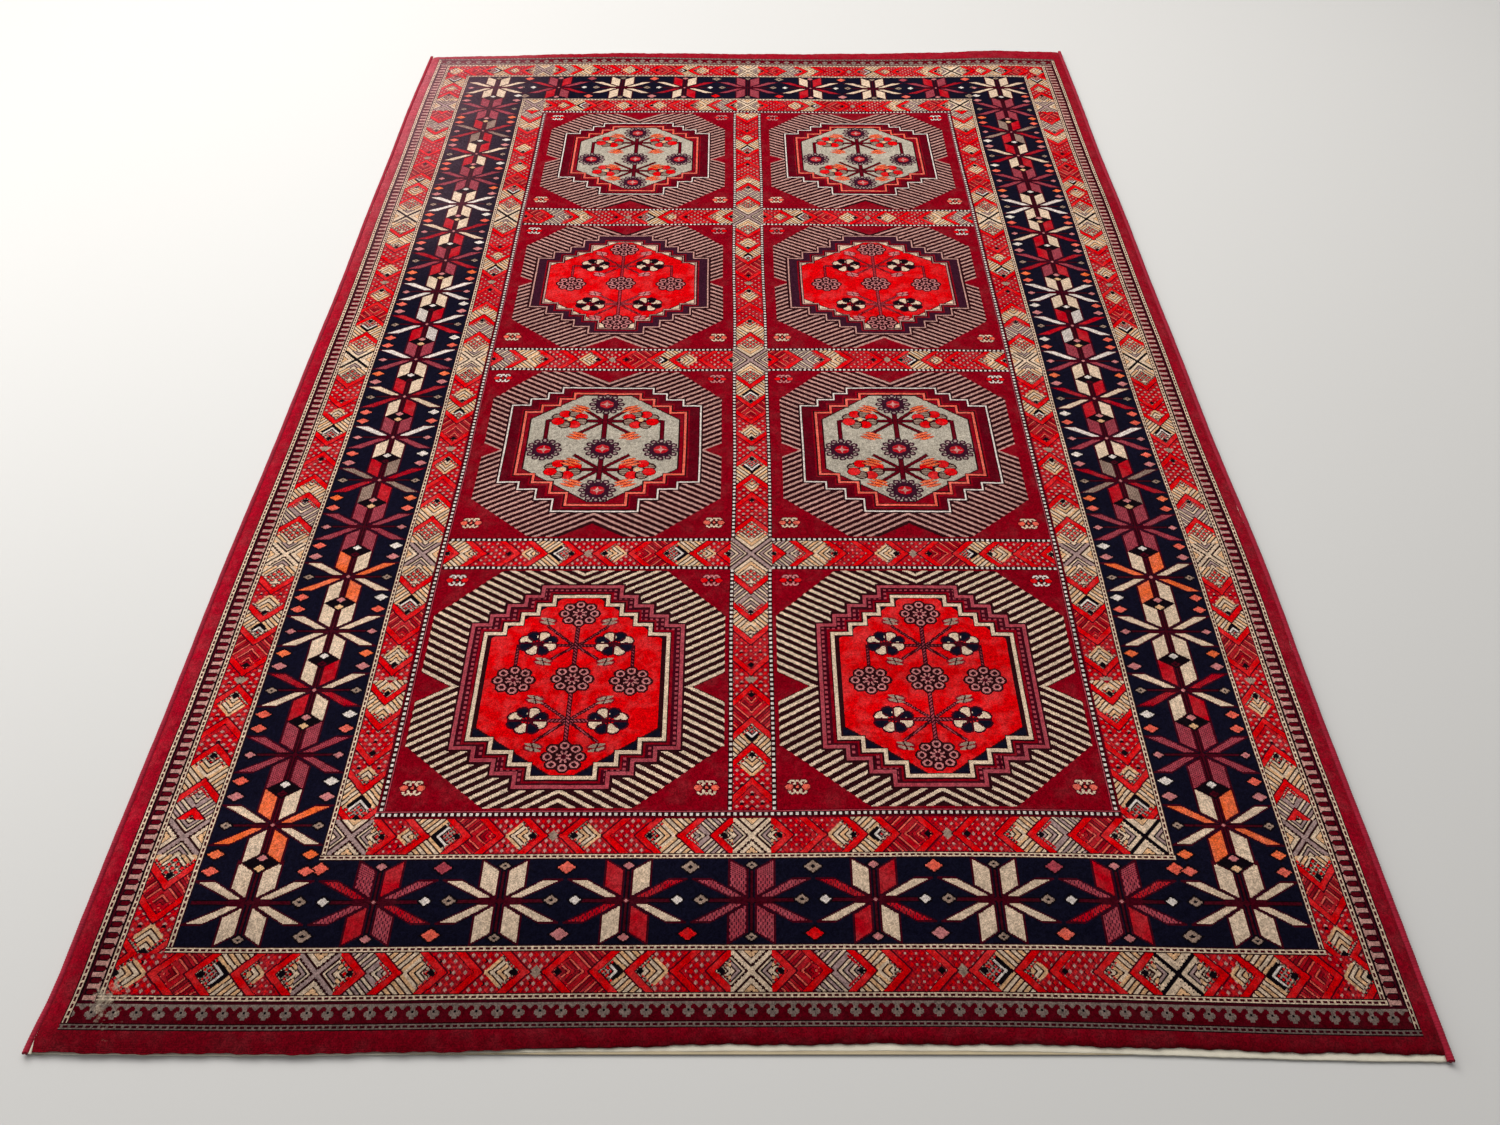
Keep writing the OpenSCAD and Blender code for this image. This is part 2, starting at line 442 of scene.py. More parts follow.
def rosette(p, x, y, kind):
    """A round flower of looped petals with spokes between them."""
    p = p.about(x, y).near(48, 44)
    light, dark, heart, petals, rx, ry = kind
    loops = round_the_middle(petals, rx, ry)
    for cx, cy in loops:
        p.weave(oval(p, cx, cy, 12, 10), dark)
    p.weave(oval(p, 0, 0, rx * 0.72, ry * 0.75), dark)
    roots = round_the_middle(petals, 4, 4, 0.5)
    tips = round_the_middle(petals, rx * 0.52, ry * 0.55, 0.5)
    for (cx, cy), root, tip in zip(loops, roots, tips):
        p.weave(oval(p, cx, cy, 7.8, 6.8), light)
        p.weave(oval(p, cx, cy, 4.6, 3.8), dark)
        p.weave(stroke(p, *root, *tip, 3.0), light)
    p.weave(oval(p, 0, 0, 5, 4), heart)


def crossed_rosette(p, x, y, kind):
    """A round flower of small beads, with a red heart under a pale cross."""
    p = p.about(x, y).near(48, 44)
    light, dark, heart, petals, rx, ry = kind
    p.weave(oval(p, 0, 0, rx * 0.8, ry * 0.8), dark)
    for cx, cy in round_the_middle(petals, rx, ry):
        p.weave(oval(p, cx, cy, 7.6, 6.6), dark)
        p.weave(oval(p, cx, cy, 3.4, 2.9), light)
    p.weave(oval(p, 0, 0, 15, 12), heart)
    p.weave((np.abs(p.x * p.y) < 9) & oval(p, 0, 0, 13, 10), "blush")
    p.weave(oval(p, 0, 0, 2.5, 2.5), "pink")


def pinwheel(p, x, y, first, second, flip):
    """Eight round lobes in two yarns by turns, with a maroon cross between them."""
    p = p.about(x, y, flip).near(48, 40)
    for cx, cy in round_the_middle(8, 24, 17, 0.5):
        p.weave(oval(p, cx, cy, 13.5, 11.5), "maroon")
    for number, (cx, cy) in enumerate(round_the_middle(8, 23, 16, 0.5)):
        p.weave(oval(p, cx, cy, 11, 9.5), first if number % 2 else second)
    p.weave(slab(p, -34, 34, -1.7, 1.7) | slab(p, -1.7, 1.7, -25, 25), "maroon")
    for slant in (-1, 1):
        p.weave(stroke(p, -18, -13 * slant, 18, 13 * slant, 2.6), "maroon")


def bud_flower(p, x, y, flip):
    """Four round petals with four hatched ones between them."""
    p = p.about(x, y, flip).near(50, 40)
    for number, (cx, cy) in enumerate(round_the_middle(8, 27, 18, 0.5)):
        p.weave(oval(p, cx, cy, 14.5, 12), "bark")
        if number % 2:
            p.weave(oval(p, cx, cy, 13, 11), "scarlet")
        else:
            stripe = np.mod(p.y, 5.0) < 2.6
            p.weave(oval(p, cx, cy, 11, 9.0) & stripe, "taupe")
    p.weave(oval(p, 0, 0, 6, 5), "sand")


def leaf_pair(p, x, y, yarn, flip):
    """Two small leaves on a dark ground, or three slender orange ones."""
    p = p.about(x, y, flip).near(34, 24)
    if yarn == "orange":
        for x0, y0, x1, y1 in ((-22, -6, 20, 9), (-20, 3, 12, 14), (-8, -9, 24, 1)):
            p.weave(leaf(p, x0, y0, x1, y1, 8.0), "brick")
            p.weave(leaf(p, x0, y0, x1, y1, 5.0), yarn)
        return
    p.weave(oval(p, 0, 0, 17, 9), "brick")
    for offset in (-4.5, 3.5):
        p.weave(leaf(p, -14, offset - 3, 14, offset + 4, 6.5), yarn)
    p.weave(stroke(p, -3, -8, 3, 8, 2.4), "bark")


def branch(p, x0, y0, x1, y1, yarn, width, dotted):
    """A stem with a dark rim, with or without small dots."""
    p.weave(stroke(p, x0, y0, x1, y1, width), "bark")
    line = stroke(p, x0, y0, x1, y1, width - 3.4)
    p.weave(line, yarn)
    if dotted:
        p.weave(line & (np.mod(p.x + p.y, 6.6667) < 2.5), "rose")


def corner_flower(p, x, y, light, heart):
    """The small flower in each corner of a panel."""
    p = p.about(x, y).near(26, 22)
    corners = [(-9, 8), (9, 8), (-9, -8), (9, -8)]
    petals = [(*place, light) for place in corners] + [(-14, 0, heart), (14, 0, heart)]
    for cx, cy, yarn in petals:
        p.weave(oval(p, cx, cy, 8.5, 7.2), "wine")
        p.weave(oval(p, cx, cy, 6.5, 5.2), yarn)
    dots = [(*place, "wine") for place in corners] + [(0, 11, light), (0, -11, light)]
    for cx, cy, yarn in dots:
        p.weave(oval(p, cx, cy, 2.6, 2.2), yarn)
    p.weave(oval(p, 0, 0, 6, 5), "bark")
    p.weave(oval(p, 0, 0, 3, 2.5), heart)


HATCH_SLOPE = 0.56
HATCH_STEP = 10 * KNOT
# What differs between the guls. Frames list (height, half width) steps from the
# outermost inwards, above the middle and then below it. A flower is its light yarn, dark
# yarn, heart, number of petals and two radii
BRIGHT = {
    "outer": ([(212, 76), (190, 105), (167, 135), (145, 163), (122, 193)],
              [(141, 193), (165, 155), (190, 117), (214, 80)]),
    "inner": ([(190, 52), (169, 79), (147, 106), (124, 134), (102, 167)],
              [(125, 167), (149, 128), (173, 91), (198, 58)]),
    "octagon": (88, 98, 153, (186, 27), (190, 18)),
    "outer_yarn": "rose", "outer_w": 6.7, "inner_yarn": "cream", "inner_w": 6.7,
    "band": "maroon", "steps": "navy",
    "field": "scarlet", "stem": "maroon", "notch": -15,
    "hatch": "cream", "hatch_w": 266, "hatch_step": HATCH_STEP, "top_notch": 268,
    "draw_flower": rosette, "flower": ("pink", "bark", "maroon", 8, 27, 21),
    "leaf": "taupe", "lobes": ("navy", "cream"), "reach": 102,
}
PALE = {
    "outer": ([(196, 101), (178, 131), (158, 168), (137, 206)],
              [(101, 206), (121, 163), (149, 124), (182, 88)]),
    "inner": ([(177, 75), (160, 105), (137, 141), (116, 175)],
              [(79, 175), (102, 136), (132, 97), (166, 63)]),
    "octagon": (91, 60, 157, (168, 50), (152, 18)),
    "outer_yarn": "chalk", "outer_w": 3.4, "inner_yarn": "salmon", "inner_w": 5.0,
    "band": "wine", "steps": "crimson",
    "field": "sage", "stem": "wine", "notch": -4,
    "hatch": "blush", "hatch_w": 250, "hatch_step": HATCH_STEP * 0.9, "top_notch": 214,
    "draw_flower": crossed_rosette, "flower": ("ash", "aubergine", "clay", 12, 31, 27),
    "leaf": "orange", "lobes": None, "reach": 122,
}
DEEP = {
    "outer": ([(208, 71), (188, 106), (158, 138), (134, 178), (106, 215)],
              [(100, 215), (126, 172), (150, 133), (174, 103), (199, 66)]),
    "inner": ([(180, 45), (164, 84), (133, 118), (116, 151), (88, 184)],
              [(84, 184), (107, 148), (128, 110), (149, 78), (181, 45)]),
    "octagon": (72, 62, 180, (182, 6), (178, 6)),
    "outer_yarn": "blush", "outer_w": 3.4, "inner_yarn": "blush", "inner_w": 2.4,
    "band": "aubergine", "steps": "cream",
    "field": "scarlet", "stem": "brick", "notch": 4,
    "hatch": "blush", "hatch_w": 250, "hatch_step": HATCH_STEP * 0.9, "top_notch": 212,
    "draw_flower": rosette, "flower": ("pink", "bark", "bark", 8, 26, 20),
    "leaf": "pink", "lobes": ("black", "cream"), "reach": 122,
}


def hatching(p, look, half_h):
    """The octagon of slanting strokes round a gul, open in a notch on all four sides."""
    wide, tall = np.abs(p.x), np.abs(p.y - look["notch"])
    across = tall - HATCH_SLOPE * wide
    outline = (wide < look["hatch_w"]) & (np.abs(p.y) < half_h - 3)
    outline &= (wide + 1.05 * p.y < 415) & (wide - 1.25 * p.y < 432)
    outline &= across > -HATCH_SLOPE * 212
    outline &= np.abs(p.y) <= look["top_notch"] + HATCH_SLOPE * wide
    stripe = np.mod(across, look["hatch_step"]) < look["hatch_step"] * 0.4
    p.weave(outline, "bark")
    p.weave(outline & stripe, look["hatch"])


def gul(p, look, half_h):
    """One panel: crimson field, hatched octagon, two stepped frames and a flowering
    tree."""
    p.weave(np.ones(p.x.shape, bool), "crimson")
    hatching(p, look, half_h)
    outer, outer_w = look["outer"], look["outer_w"]
    for less, yarn in ((-3.5, "bark"), (0, look["outer_yarn"]), (outer_w, "bark"),
                       (outer_w + 2, look["band"])):
        p.weave(stepped(p, *outer, less=less), yarn)
    if look is BRIGHT:
        speck = (np.mod(p.x, 10) < 3.4) & (np.mod(p.y, 10) < 3.4)
        p.weave(stepped(p, *outer, less=outer_w + 2) & speck, "rose")
    inner, inner_w = look["inner"], look["inner_w"]
    for less, yarn in ((-6.5, "crimson"), (-3, "bark"), (0, look["inner_yarn"]),
                       (inner_w, "bark"), (inner_w + 2, look["steps"])):
        p.weave(stepped(p, *inner, less=less), yarn)
    within = stepped(p, *inner, less=inner_w + 2)
    p.weave(within & eight_sided(p, *look["octagon"], grow=4), "bark")
    p.weave(within & eight_sided(p, *look["octagon"]), look["field"])
    tree(p, look)
    for sx in (-1, 1):
        corner_flower(p, sx * 238, 226, "chalk" if sx < 0 else "pink", "scarlet")
        corner_flower(p, sx * 238, -212, "cream", "salmon")


def tree(p, look):
    """A stem with side branches, five rosettes and four bicoloured flowers."""
    bright = look["lobes"] is not None
    reach = look["reach"]
    top, low = (145, -155) if bright else (140, -122)
    bend, under = (72, -85) if bright else (86, -62)
    stem = look["stem"]
    wide = 7.0 if bright else 10.0
    for sx in (-1, 1):
        q = p.about(0, 0, sx)
        branch(q, 0, bend, reach, bend, stem, wide, bright)
        branch(q, reach, bend + 3, reach, 0, stem, wide, bright)
        branch(q, 0, under, 70, under, stem, wide, bright)
        for x0, y0, x1, y1 in ((0, bend - 3, 56, bend + 45), (0, bend, 56, bend - 40),
                               (0, under, 58, under + 44), (0, under, 54, under - 42)):
            branch(q, x0, y0, x1, y1, stem, wide - 1, bright)
    branch(p, 0, low, 0, top, stem, wide + 1, bright)
    for sx in (-1, 1):
        for y in (bend + 5, under):
            if bright:
                pinwheel(p, sx * 68, y, *look["lobes"], sx)
            else:
                bud_flower(p, sx * 76, y, sx)
        for x, y in ((56, top - 18), (55, 37), (60, -43), (53, low + 18)):
            leaf_pair(p, sx * x, y, look["leaf"], sx)
    for x, y in ((0, 0), (-reach, -3), (reach, -3), (0, top), (0, low)):
        look["draw_flower"](p, x, y, look["flower"])


# Guards and the whole design --------------------------------------------------------

def teeth(p, half):
    """A wine strip with stone teeth that hang from its inner edge, which is up."""
    p.weave(np.abs(p.y) < half, "wine")
    pitch = 30
    phase = np.mod(p.x + pitch / 2, pitch) - pitch / 2
    q = Patch(p.knots, phase, p.y - half)
    p.weave((q.y > -3) & (q.y < 0), "maroon")
    scallop = 6.5 + 5.0 * np.cos(2 * math.pi * phase / pitch) ** 2
    p.weave((q.y > -scallop) & (q.y < -3) & (p.y > -half), "stone")
    p.weave((np.abs(phase) < 2.6) & (q.y > -20) & (q.y < -5), "stone")
    for x, y, r in ((0, -21, 4.2), (-5, -17.5, 3.6), (5, -17.5, 3.6)):
        p.weave(oval(q, x, y, r, r), "stone")
    p.weave(oval(q, 0, -14.5, 2.4, 1.8), "black")


def ladder(p, half):
    """The same guard along the sides: wine ovals between blush rungs."""
    tall = np.abs(p.y)
    pitch = KNOT * 10
    phase = np.mod(p.x + pitch / 2, pitch) - pitch / 2
    q = Patch(p.knots, phase, p.y)
    p.weave(tall < half, "blush")
    p.weave((p.y < -half * 0.2) & (tall < half), "maroon")
    p.weave(oval(q, 0, 1.5, 5.4, 9.5), "black")
    p.weave(oval(q, 0, 1.5, 4.0, 8.0), "wine")
    p.weave((np.abs(phase) > 5.4) & (p.y > -half * 0.65) & (p.y < half), "blush")
    p.weave((tall > half * 0.86) & (tall < half), "black")


def ring_strip(cartoon, side_inset, end_inset, side_w, end_w, draw):
    """Calls draw(patch, half width, half length, is_end) for the four strips of a ring.
    In each strip x runs along it and y points to the middle of the rug."""
    half_w, half_l = RUG_W / 2 - side_inset, RUG_L / 2 - end_inset
    for sign in (-1, 1):
        y0, y1 = sorted((sign * half_l, sign * (half_l - end_w)))
        p = cartoon.patch(-half_w, half_w, y0, y1).about(0, (y0 + y1) / 2, 1, -sign)
        draw(p, end_w / 2, half_w, True)
    for sign in (-1, 1):
        x0, x1 = sorted((sign * half_w, sign * (half_w - side_w)))
        p = cartoon.patch(x0, x1, -half_l + end_w, half_l - end_w)
        p = p.about((x0 + x1) / 2, 0, -sign, 1).turned()
        draw(p, side_w / 2, half_l - end_w, False)


# Each of these makes or is a draw for ring_strip

def beads(side_yarn, end_yarn):
    return lambda p, half, length, is_end: beaded(p, end_yarn if is_end else side_yarn)


def guard(p, half, length, is_end):
    (teeth if is_end else ladder)(p, half)


def chevron_strip(turn):
    def draw(p, half, length, is_end):
        across = COLUMN_X if is_end else ROW_Y
        lines = [0.0] if is_end else LATTICE_Y_LINES
        corner = (FIELD_W if is_end else FIELD_L) / 2 + INNER_MIDDLE
        crossings = [x for x in (-corner, *lines, corner) if abs(x) < length + half]
        chevrons(p, half, [-length - half, *across, length + half], crossings, turn)
    return draw


def navy(p, half, length, is_end):
    p.weave(np.ones(p.x.shape, bool), "navy")


def frame_line(p, half, length, is_end):
    p.weave(np.abs(p.y) <= half, "wine")
    studded(p, half * 0.6)
    p.weave((p.y > half * 0.6) & (p.y < half * 0.6 + KNOT), "rose")


FRAME_LINE_W = 15.0
# From the field's edge to the middle of the inner chevrons
INNER_MIDDLE = 45.0
# The rings inside the plain edge, from the outside in. Each is a few lines: how wide one
# is, or None for the rest of the ring, and how it is drawn
RINGS = {
    "tooth_guard": [(BEAD_LINE_W, beads("cream", "stone")), (None, guard),
                    (BEAD_LINE_W, beads("cream", "cream"))],
    "outer_chevron": [(None, chevron_strip(0))],
    "star_border": [(BEAD_LINE_W, beads("cream", "cream")), (None, navy),
                    (BEAD_LINE_W, beads("cream", "cream"))],
    "inner_chevron": [(None, chevron_strip(2)), (FRAME_LINE_W, frame_line)],
}
STARS_X, STARS_Y = 9, 21
# The stars' yarns, from the middle of an end outwards, and from the near end of a side
END_STARS = ["rose", "red_cream", "cream", "red_rose", "cream"]
SIDE_STARS = ["orange_cream", "rose", "cream_red", "cream", "orange_cream", "rose",
              "red_ash", "rose_cream", "red_cream", "rose_cream", "red_white", "pale",
              "red_rose", "red_cream", "pale", "rose", "cream_red", "red_ash", "rose"]


def end_stars(whole, half_w, half_l):
    """The stars along both ends, with small diamonds above, below and between them."""
    step = 2 * half_w / (STARS_X - 1)
    half_count = STARS_X // 2
    for sy in (-1, 1):
        for n in range(-half_count, half_count + 1):
            p = whole.about(n * step, sy * half_l, 1 if n <= 0 else -1)
            star(p.near(110, 70), END_STARS[abs(n)], (8, 34, 8, 61), (86, 33, 12))
            for dy in (-57, 57):
                small_diamond(p, 0, dy, "taupe" if n % 2 == 0 else "pink", 9, 6)
    for sy in (-1, 1):
        for n in range(-half_count, half_count):
            p = whole.about((n + 0.5) * step, sy * half_l)
            from_middle = min(abs(n), abs(n + 1))
            turn = 1 if n % 2 else -1
            small_diamond(p, 0, 54, ("taupe", "salmon", "rose", "salmon")[from_middle])
            small_diamond(p, 0, -52, ("scarlet", "pink", "salmon", "taupe")[from_middle])
            small_diamond(p, -18 * turn, 1, "chalk", 9, 7)
            small_diamond(p, 18 * turn, 1, "taupe", 11, 8)


def side_stars(whole, half_w, half_l):
    """The stars along both sides, with small diamonds beside and between them."""
    step = 2 * half_l / (STARS_Y - 1)
    for sx in (-1, 1):
        for n, kind in enumerate(SIDE_STARS, 1):
            p = whole.about(sx * half_w, -half_l + n * step, -sx)
            star(p.near(100, 70), kind, (7, 30, 9, 60), (84, 33, 12))
        for n in range(STARS_Y - 1):
            p = whole.about(sx * half_w, -half_l + (n + 0.5) * step, -sx)
            gap = p.near(40, 22)
            gap.weave(lozenge(gap, 0, 0, 30, 17), "black")
            small_diamond(p, 0, 8, "chalk" if n % 2 else "pink", 9, 6)
            small_diamond(p, 0, -9, "maroon" if n % 2 else "sand", 9, 6)
            for dx, yarn in ((-74, "salmon"), (74, "chalk")):
                small_diamond(p, dx, 14, yarn if n % 3 else "orange", 13, 8)
                small_diamond(p, dx, -14, "pink" if n % 2 else "salmon", 13, 8)
                small_diamond(p, dx, 63, "pink" if n % 2 else "taupe", 9, 6)


def draw_rings(cartoon):
    """All the rings, from the outside in, and the stars on the navy one."""
    whole = cartoon.patch(-RUG_W / 2, RUG_W / 2, -RUG_L / 2, RUG_L / 2)
    side_inset, end_inset = PLAIN_SIDE, PLAIN_END
    for ring, lines in RINGS.items():
        fixed = sum(width for width, _ in lines if width)
        side_rest = laid_size(ring + "_left")[0] - fixed
        end_rest = laid_size(ring + "_near")[1] - fixed
        for width, draw in lines:
            side_w, end_w = width or side_rest, width or end_rest
            ring_strip(cartoon, side_inset, end_inset, side_w, end_w, draw)
            if draw is navy:
                middles = (RUG_W / 2 - side_inset - side_w / 2,
                           RUG_L / 2 - end_inset - end_w / 2)
                end_stars(whole, *middles)
                side_stars(whole, *middles)
            side_inset, end_inset = side_inset + side_w, end_inset + end_w


def lattice_strip(p, width, length, middles, crossings, turn):
    """A bar or the post of the lattice, with a studded line along each edge."""
    edge_w = 8.0
    chevrons(p, width / 2 - edge_w, middles, crossings, turn)
    for sign in (-1, 1):
        q = p.about(0, sign * (width / 2 - edge_w / 2), 1, sign)
        studded(q.near(length, edge_w / 2), edge_w / 2)


def draw_lattice(cartoon):
    """The post, then the three bars across it."""
    corner_x, corner_y = FIELD_W / 2 + INNER_MIDDLE, FIELD_L / 2 + INNER_MIDDLE
    p = cartoon.patch(-POST / 2, POST / 2, -FIELD_L / 2, FIELD_L / 2).turned()
    lattice_strip(p, POST, FIELD_L, ROW_Y, [-corner_y, *LATTICE_Y_LINES, corner_y], 1)
    for row, y in enumerate(LATTICE_Y_LINES):
        p = cartoon.patch(-FIELD_W / 2, FIELD_W / 2, y - BAR / 2, y + BAR / 2).about(0, y)
        lattice_strip(p, BAR, FIELD_W, COLUMN_X, [-corner_x, 0.0, corner_x], row + 2)
        crossing(p.near(BAR / 2 + 4, BAR / 2 + 4), BAR / 2, "ash")


def draw_panels(cartoon):
    """The eight guls. The right column mirrors the left one."""
    for y, look in zip(ROW_Y, (BRIGHT, PALE, DEEP, PALE)):
        for x, flip in zip(COLUMN_X, (1, -1)):
            p = cartoon.patch(x - PANEL_W / 2, x + PANEL_W / 2, y - PANEL_L / 2,
                              y + PANEL_L / 2)
            gul(p.about(x, y, flip), look, PANEL_L / 2)


def draw_rug():
    cartoon = Cartoon()
    draw_rings(cartoon)
    draw_lattice(cartoon)
    draw_panels(cartoon)
    return cartoon.yarn


# --- How the cloth lies --------------------------------------------------------------

LATTICE_X, LATTICE_Y = round(RUG_W / CELL) + 1, round(RUG_L / CELL) + 1
SEED = 1707
SHOULDER_W, SHOULDER_DROP = 26.0, 4.6
# The middle of an old pale spill near one corner
SPILL_AT = (-908.0, -1428.0)


def soft_noise(size, seed):
    """Even noise on the tuft lattice, with bumps about size cells across and a spread
    of 1."""
    rows, columns = LATTICE_Y, LATTICE_X
    noise = np.random.default_rng(SEED + seed).standard_normal((rows, columns))
    across, along = np.fft.rfftfreq(columns)[None, :], np.fft.fftfreq(rows)[:, None]
    keep = np.exp(-2.0 * (math.pi * size / 2.5) ** 2 * (across ** 2 + along ** 2))
    field = np.fft.irfft2(np.fft.rfft2(noise) * keep, s=(rows, columns))
    return field / field.std()


def edge_distance():
    """How far each point of the lattice is from the nearest edge of the rug, in mm."""
    x = RUG_W / 2 - np.abs(np.arange(LATTICE_X) * CELL - RUG_W / 2)[None, :]
    y = RUG_L / 2 - np.abs(np.arange(LATTICE_Y) * CELL - RUG_L / 2)[:, None]
    return np.minimum(x, y)


WAVE = np.clip(edge_distance() / 260, 0, 1) ** 2 * (1.3 + 0.9 * soft_noise(70, 1))
WAVE = np.clip(WAVE, 0, 4)
TUFTS = 0.22 * soft_noise(1.1, 2) + 0.16 * soft_noise(6, 3) + 0.14 * soft_noise(22, 4)


def hill(value, middle, width):
    """A smooth bump of height 1."""
    return np.exp(-((value - middle) / width) ** 2)


def ramp(value, start, stop):
    """Rises evenly from 0 at start to 1 at stop."""
    return np.clip((value - start) / (stop - start), 0, 1)


def waver(x, y):
    """Small waves in the cloth's own plane."""
    dx = 1.5 * np.sin(y / 270 + 0.6) + 0.9 * np.sin(y / 96 + x / 700)
    dy = 1.6 * np.sin(x / 310 + 0.4) + 0.8 * np.sin(x / 118 + y / 800)
    return dx + 1.1 * np.sin(x / 240 + 1.0), dy + 1.2 * np.sin(y / 260)


def askew(x, y):
    """The design sits askew between the edges, and the outer rings take up the slack."""
    across = 11 - 5.5 * np.clip(y / 1250, -0.2, 1) + 9 * hill(x, 0, 520) * ramp(y, 300, -300)
    dx = across * ramp(np.abs(x), PILE_W / 2, PILE_W / 2 - 110)
    along = -12 * ramp(y, -400, 600) - 18 * ramp(y, -1300, 600) * x / 900
    dy = along * ramp(np.abs(y), PILE_L / 2, PILE_L / 2 - EDGE_W - 1)
    return dx - 6 * hill(np.abs(x), 895, 55), dy


def bowed(x, y):
    """The edges bow in and out a little."""
    dx = 9 * hill(y, -620, 380) * ramp(x, 0, 1000) - 7 * ramp(y, -100, 1100) * ramp(x, 0, -1000)
    near_bow = 4 * hill(x, 0, 400) - 9 * hill(x, 1000, 400)
    far_bow = 20 * hill(x, -420, 330) + 13 * hill(x, 780, 170)
    dy = ramp(y, -700, -1500) ** 2 * near_bow + ramp(y, 900, 1500) ** 2 * far_bow
    return dx - 8 * hill(x, -1000, 70) * hill(y, -1500, 60), dy


def drift(x, y):
    """How far the cloth wanders from square in its own plane, in mm."""
    moves = [way(x, y) for way in (waver, askew, bowed)]
    return sum(dx for dx, _ in moves), sum(dy for _, dy in moves)


def lie(x, y, z):
    """Where a point of the flat cloth comes to lie."""
    dx, dy = drift(x, y)
    return x + dx, y + dy, z


def pile_reach(x, end):
    """How far the pile's top leans out over an end of the rug, in mm. At the near end it
    hides the tape on the left and leaves it bare on the right."""
    wander = 0.9 * np.sin(x / 37.0) + 0.7 * np.sin(x / 11.3 + 1) + 0.6 * np.sin(x / 4.1)
    if end == "near":
        return 4.5 - 9.5 / (1 + np.exp(-(x + 250) / 80)) + wander
    return 3.0 + wander


def shoulder(gap):
    """How far the pile's top drops towards an open edge that is gap mm away."""
    inward = np.clip(1 - gap / SHOULDER_W, 0, 1)
    return SHOULDER_DROP * (1 - np.sqrt(1 - 0.92 * inward ** 2.4))


def pile_foot(x, end):
    """How far the foot of the pile stands from where it is laid, in mm."""
    return np.minimum(pile_reach(x, end) + 1.0, 0.0)


# --- Making meshes -------------------------------------------------------------------

def new_piece(name, bm, material, smooth=True):
    mesh = bpy.data.meshes.new(name)
    bm.to_mesh(mesh)
    bm.free()
    mesh.materials.append(material)
    piece = bpy.data.objects.new(name, mesh)
    bpy.context.scene.collection.objects.link(piece)
    mesh.polygons.foreach_set("use_smooth", [smooth] * len(mesh.polygons))
    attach(piece, "root")
    return piece


def read(collection, key, kind, width):
    values = np.zeros(len(collection) * width, kind)
    collection.foreach_get(key, values)
    return values.reshape(-1, width) if width > 1 else values


def bend(mesh, move):
    """Moves every vertex. move takes and returns columns of millimetres."""
    place = read(mesh.vertices, "co", np.float32, 3) / MM
    place = np.stack(move(*place.T.astype(float)), 1) * MM
    mesh.vertices.foreach_set("co", place.astype(np.float32).ravel())
    mesh.update()


def grid_block(low, high, columns, rows):
    """A closed block in metres whose top is a grid, with one ring of wall faces."""
    bm = bmesh.new()
    bmesh.ops.create_grid(bm, x_segments=columns, y_segments=rows, size=0.5)
    bmesh.ops.scale(bm, vec=(high.x - low.x, high.y - low.y, 1), verts=bm.verts)
    middle = Vector(((low.x + high.x) / 2, (low.y + high.y) / 2, high.z))
    bmesh.ops.translate(bm, vec=middle, verts=bm.verts)
    rim = [edge for edge in bm.edges if edge.is_boundary]
    for edge in rim:
        edge.smooth = False
    skirt = bmesh.ops.extrude_edge_only(bm, edges=rim)["geom"]
    foot = [item for item in skirt if isinstance(item, bmesh.types.BMVert)]
    bmesh.ops.translate(bm, vec=(0, 0, low.z - high.z), verts=foot)
    open_edges = [edge for edge in bm.edges if edge.is_boundary]
    base = bmesh.ops.holes_fill(bm, edges=open_edges)["faces"]
    bmesh.ops.triangulate(bm, faces=base, ngon_method="BEAUTY")
    bmesh.ops.recalc_face_normals(bm, faces=bm.faces)
    return bm


# --- Pile ----------------------------------------------------------------------------

YARN_BASE = 32
WALL_BAND = 0.04


def packed_knots(yarn):
    """The nine knots of each cell as three numbers, one for each row of three."""
    rows, columns = yarn.shape[0] // KNOTS_PER_CELL, yarn.shape[1] // KNOTS_PER_CELL
    knots = yarn.reshape(rows, KNOTS_PER_CELL, columns, KNOTS_PER_CELL).astype(float)
    place = YARN_BASE ** np.arange(KNOTS_PER_CELL)
    return (knots * place).sum(3).transpose(0, 2, 1)


def folded_map(across, along, width, length):
    """Lays a long strip out as several shorter ones side by side on a square map. across
    and along run from 0 at one corner, for each face's corners and for its middle."""
    folds = max(1, round(math.sqrt(length / width)))
    part = math.ceil(length / CELL / folds) * CELL
    number = np.minimum(np.floor(along[1] / part), folds - 1)
    gap = 0.004
    u = (number + gap + (1 - 2 * gap) * across[0] / width) / folds
    v = gap + (1 - 2 * gap) * (along[0] - number * part) / part
    return u, WALL_BAND + (1 - WALL_BAND) * v


class Corners:
    """Every face corner of a block that hasn't been bent yet, in millimetres, with the
    middle and the normal of its face."""

    def __init__(self, mesh):
        place = read(mesh.vertices, "co", np.float32, 3).astype(float) / MM
        totals = read(mesh.polygons, "loop_total", np.int32, 1)
        starts = np.concatenate([[0], np.cumsum(totals)[:-1]])
        face = np.repeat(np.arange(len(totals)), totals)
        self.place = place[read(mesh.loops, "vertex_index", np.int32, 1)]
        self.face_middle = np.add.reduceat(self.place, starts) / totals[:, None]
        self.face_normal = read(mesh.polygons, "normal", np.float32, 3)
        self.middle, self.normal = self.face_middle[face], self.face_normal[face]
        self.on_wall = np.abs(self.normal[:, 2]) <= 0.5
        self.on_base = self.normal[:, 2] < -0.5


